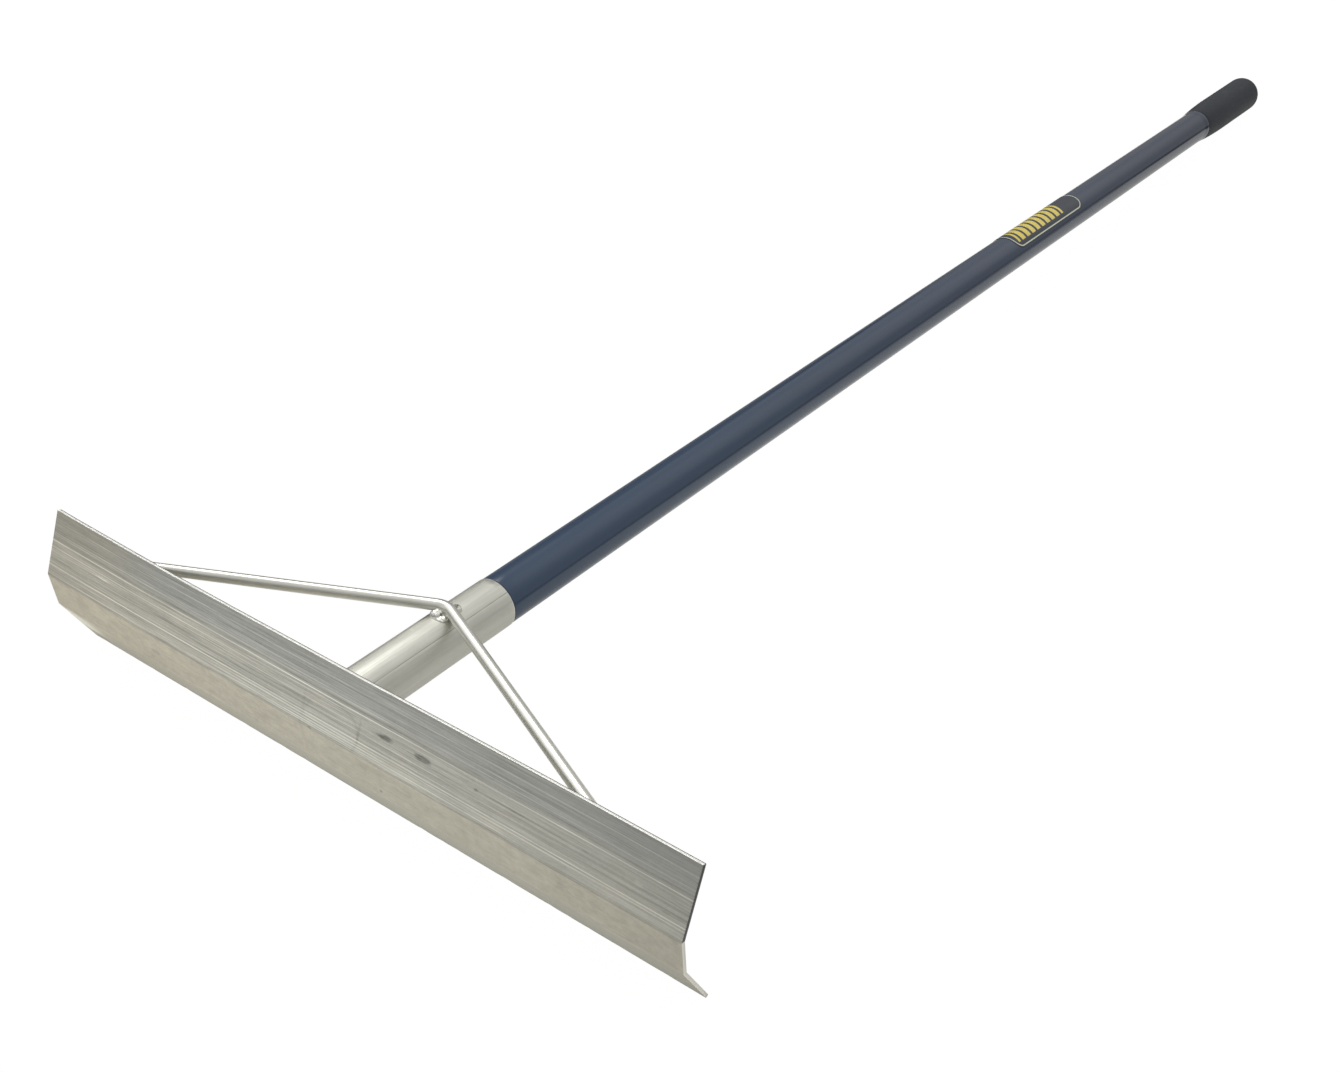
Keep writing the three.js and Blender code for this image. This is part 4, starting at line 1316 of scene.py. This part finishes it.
def grip_material():
    mat = new_shader("grip_rubber_charcoal")
    pebbles = mat.signal("Distance", "ShaderNodeTexVoronoi", {
        "Vector": mat.place, "Scale": 780.0, "Smoothness": 0.6,
    }, feature="SMOOTH_F1")
    cloud = mat.noise(mat.place, scale=42.0, detail=4.0, rough=0.6)
    dust = mat.drawn_noise(across=0.16, along=0.05, detail=4.0, rough=0.65).ramp(0.52, 0.74)
    grain = mat.noise(mat.place, scale=1700.0, rough=0.6)
    # painted shade: darker round the right side
    shade = (1.0 + cloud.swing(0.30) + grain.swing(0.12)) * mat.angle.ramp(
        64.0, 86.0, out=(1.0, 0.74))
    colour = mat.scale((0.0348, 0.0404, 0.0530), shade)
    colour = mat.mix(dust * 0.16, colour, (0.115, 0.115, 0.112))
    # paler over the dome; painted shadow in the mouth
    dome = mat.h.ramp(1741.0, 1756.0, out=(0.0, 0.22))
    colour = mat.mix(dome, colour, (0.085, 0.086, 0.088))
    mouth = mat.h.ramp(1572.5, 1568.5, out=(0.0, 0.55))
    colour = mat.mix(mouth, colour, (0.012, 0.012, 0.014))
    return mat.surface(
        colour, 0.58 + cloud.swing(0.16), metal=0.0, spec=0.22,
        normal=mat.bump(pebbles * 0.7 + grain * 0.3, distance=0.00016, strength=0.6),
    )


def label_material():
    """Dark film with a pale border and a block of equal slanted yellow bars."""
    mat = new_shader("label_film_print")
    along, across = mat.attribute("lu"), mat.attribute("lv")
    from_edge = mat.attribute("sd")
    ink = mat.noise(mat.place, scale=800.0, rough=0.6)
    cloud = mat.noise(mat.place, scale=60.0)
    field = mat.scale((0.027, 0.035, 0.055), 1.0 + cloud.swing(0.25))
    yellow = mat.scale((0.86, 0.70, 0.140), 0.96 + cloud.swing(0.22))
    border = from_edge.ramp(1.3, 1.75) * from_edge.ramp(3.15, 2.7)
    slant, pitch = 0.20, 12.4
    phase = (along + 400.0 + across * slant) % pitch
    bar = phase.ramp(1.6, 2.1) * phase.ramp(10.1, 9.6)
    # the block's ends, slanted like the bars, and its two sides
    window = (along + across * slant).ramp(-72.0, -71.4)
    window = window * (along + across * slant).ramp(40.6, 40.0)
    window = window * (across.ramp(-17.8, -17.2) * across.ramp(17.8, 17.2))
    chips = ink.ramp(0.66, 0.72, out=(1.0, 0.55))
    colour = mat.mix(bar * window * chips, field, yellow)
    colour = mat.mix(border * chips, colour, (0.78, 0.80, 0.65))
    height = ink * 0.3 + mat.math("MAXIMUM", bar * window, border) * 0.7
    return mat.surface(
        colour, 0.22 + cloud * 0.14, metal=0.0,
        normal=mat.bump(height, distance=0.00004, strength=0.5),
    )


def rivet_material(name, base, base_rough):
    mat = new_shader(name)
    cloud = mat.noise(mat.place, scale=420.0, rough=0.6)
    fine = mat.noise(mat.place, scale=2400.0, rough=0.6)
    grime = mat.noise(mat.place, scale=700.0, detail=4.0, rough=0.65).ramp(0.56, 0.70)
    colour = mat.scale(base, 1.0 + cloud.swing(0.24) + fine.swing(0.10))
    return mat.surface(
        mat.mix(grime * 0.25, colour, (0.20, 0.19, 0.17)),
        base_rough + cloud.swing(0.14) + grime * 0.15, metal=0.96,
        normal=mat.bump(cloud * 0.6 + fine * 0.4, distance=0.00008, strength=0.7),
    )


# ------------------------------------------------------------------------ build
def assign(obj, material):
    obj.data.materials.clear()
    obj.data.materials.append(material)


assign(build_blade(), blade_material())
socket_finish = tube_material("socket_alloy_satin", (0.70, 0.695, 0.635),
                              base_rough=0.40, marked=True)
assign(build_socket(), socket_finish)
assign(build_rod(), rod_material())
assign(build_sleeve(), sleeve_material())
assign(build_grip(), grip_material())
assign(build_label(), label_material())

weld = weld_material()
assign(build_socket_weld(), weld)
assign(build_brace_weld(-1, "brace_weld_left", "weld_brace_left"), weld)
assign(build_brace_weld(1, "brace_weld_right", "weld_brace_right"), weld)
for piece in build_apex_welds():
    assign(piece, weld)

rivet_alloy = rivet_material("rivet_alloy_pressed", (0.76, 0.76, 0.74), base_rough=0.26)
mandrel_steel = rivet_material("mandrel_steel_zinc", (0.50, 0.50, 0.49), base_rough=0.36)
for where, at in RIVETS:
    shell, pin = build_rivet(where, at)
    assign(shell, rivet_alloy)
    assign(pin, mandrel_steel)

# the handle's core tube keeps its CAD mesh
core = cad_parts["handle_tube"]
assign(core, tube_material("core_alloy_drawn", (0.66, 0.67, 0.66),
                           base_rough=0.32, marked=False))
core.data.shade_smooth()
core.data.set_sharp_from_angle(angle=radians(40))

# ------------------------------------------------------------------------ floor
scene = bpy.context.scene

FLOOR_SIZE, FLOOR_Z = 9, -0.0004  # half width and height, metres
# Tones of the floor as the tool sees it: the sheet, past its right edge, and a
# patch on the left
PAPER, BEYOND, BESIDE = 0.62, 0.40, 0.22
BOUNCE = 0.45  # share of the tone that is lit; the rest glows
CAMERA_SHADE, CAMERA_GLOW = 0.02, 0.990  # reflected and glowing white the camera sees


def floor_material():
    """Near white to the eye; to the metal, a pale sheet with a dimmer room past its edge."""
    mat = new_shader("studio_floor")
    x, y, _ = mat.split(mat.place)
    right_edge = 0.258 - (y - 0.343) * 0.1106
    past = (x - right_edge).ramp(-0.003, 0.003) * y.ramp(-0.02, 0.09)
    # lighter to the left, to the front and away
    tone = PAPER + x.ramp(0.10, -0.50) * 0.04
    tone = tone + y.ramp(0.02, -0.16) * 0.10
    tone = tone + y.ramp(0.16, 0.50) * 0.20
    tone = mat.mix(past, mat.grey(tone), (BEYOND,) * 3)
    left = x.ramp(-0.150, -0.164) * y.ramp(0.03, 0.10)
    tone = mat.mix(left, tone, (BESIDE,) * 3)
    tone = mat.mix(1.0, (1.0, 0.99, 0.945), tone, "MULTIPLY")
    for_tool = mat.add_shaders(
        mat.signal(0, "ShaderNodeBsdfDiffuse", {"Color": mat.scale(tone, BOUNCE * 1.25)}),
        mat.signal(0, "ShaderNodeEmission", {"Color": tone, "Strength": 1.0 - BOUNCE}),
    )
    for_camera = mat.add_shaders(
        mat.signal(0, "ShaderNodeBsdfDiffuse", {"Color": (CAMERA_SHADE,) * 3}),
        mat.signal(0, "ShaderNodeEmission",
                   {"Color": (1.0, 1.0, 1.0), "Strength": CAMERA_GLOW}),
    )
    return mat.output(mat.signal(0, "ShaderNodeMixShader", {
        0: mat.camera_ray(), 1: for_tool, 2: for_camera,
    }))


floor_mesh = bpy.data.meshes.new("floor")
floor_mesh.from_pydata(
    [(x * FLOOR_SIZE, y * FLOOR_SIZE, FLOOR_Z) for x, y in ((-1, -1), (1, -1), (1, 1), (-1, 1))],
    [], [(0, 1, 2, 3)],
)
floor = bpy.data.objects.new("floor", floor_mesh)
scene.collection.objects.link(floor)
floor_mesh.materials.append(floor_material())

# ------------------------------------------------------------------------ light
# Lobes of light in the sky: azimuth (0 is +Y, + towards +X), rise, radius of full
# strength, radius where it is gone (all degrees), strength
LOBES = (
    (-60.0, 53.0, 10.0, 21.0, 3.3),     # key
    (-97.0, 33.0, 8.0, 22.0, 0.80),     # left of the key
    (12.0, 34.0, 8.0, 30.0, 0.30),      # beyond the grip, to the right
    (-140.0, 8.0, 10.0, 36.0, 0.26),    # front left
    (172.0, 10.0, 12.0, 50.0, -0.14),   # a dimmer front
)


def toward(azimuth, rise):
    azimuth, rise = radians(azimuth), radians(rise)
    return Vector((
        math.sin(azimuth) * math.cos(rise), math.cos(azimuth) * math.cos(rise), math.sin(rise),
    ))


def build_world():
    """A soft room of broad, soft-edged panels; plain white to the camera."""
    world = bpy.data.worlds.new("studio")
    scene.world = world
    sky = Shader(world)
    direction = sky.signal("Generated", "ShaderNodeTexCoord")
    x, y, z = sky.split(direction)
    rise = z.apply("ARCSINE") * (180.0 / math.pi)
    level = rise.ramp(-2.0, 50.0, out=(0.40, 0.60))
    # a dim doorway on the left, up to where the key starts, and a softer dark beside it
    azimuth = sky.math("ARCTAN2", x, y) * (180.0 / math.pi)
    doorway = azimuth.ramp(-33.0, -38.0) * azimuth.ramp(-118.0, -106.0) * rise.ramp(36.0, 24.0)
    level = level - doorway * 0.31
    beside = azimuth.ramp(-12.0, -35.0) * azimuth.ramp(-39.0, -37.0) * rise.ramp(24.0, 6.0)
    level = level - beside * 0.14
    for lobe_azimuth, lobe_rise, inside, outside, strength in LOBES:
        facing = sky.signal("Value", "ShaderNodeVectorMath",
                            {0: direction, 1: toward(lobe_azimuth, lobe_rise)},
                            operation="DOT_PRODUCT")
        away = facing.apply("ARCCOSINE") * (180.0 / math.pi)
        level = level + away.ramp(outside, inside) * strength
    shade = sky.scale((1.0, 0.995, 0.96), sky.math("MAXIMUM", level, 0.01))
    seen = sky.mix(sky.camera_ray(), shade, (1.0, 1.0, 1.0))
    background = sky.signal(0, "ShaderNodeBackground", {0: seen, 1: 1.0})
    sky.node("ShaderNodeOutputWorld", {0: background})


def build_top_softbox():
    """One large weak panel overhead, for the soft shadow under the tool."""
    light = bpy.data.lights.new("top_softbox", "AREA")
    light.shape = "RECTANGLE"
    light.size = light.size_y = 3.4
    light.energy = 14.0
    way = toward(azimuth=150.0, rise=80.0)
    target, distance = Vector((0.0, 0.6, 0.05)), 4.5
    obj = bpy.data.objects.new("top_softbox", light)
    obj.location = target + way * distance
    obj.rotation_euler = way.to_track_quat("Z", "Y").to_euler()
    scene.collection.objects.link(obj)


build_world()
build_top_softbox()

# ----------------------------------------------------------------------- camera
CAMERA_PLACE = (0.66378, -0.53336, 0.79768)
CAMERA_RIGHT = (0.802755, 0.596296, 0.003851)
CAMERA_DOWN = (0.343908, -0.457686, -0.819909)
CAMERA_FORWARD = (-0.487146, 0.65951, -0.572481)

cam_data = bpy.data.cameras.new("camera")
cam_data.sensor_width = 36.0
cam_data.lens = 42.883
cam_data.clip_start = 0.01
cam_data.clip_end = 60.0
cam = bpy.data.objects.new("camera", cam_data)
axes = zip(CAMERA_RIGHT, CAMERA_DOWN, CAMERA_FORWARD, CAMERA_PLACE)
cam.matrix_world = Matrix((
    *((right, -down, -forward, place) for right, down, forward, place in axes),
    (0, 0, 0, 1),
))
scene.collection.objects.link(cam)
scene.camera = cam
scene.view_settings.view_transform = "Standard"
scene.view_settings.look = "None"
scene.view_settings.exposure = 0.0
scene.view_settings.gamma = 1.0
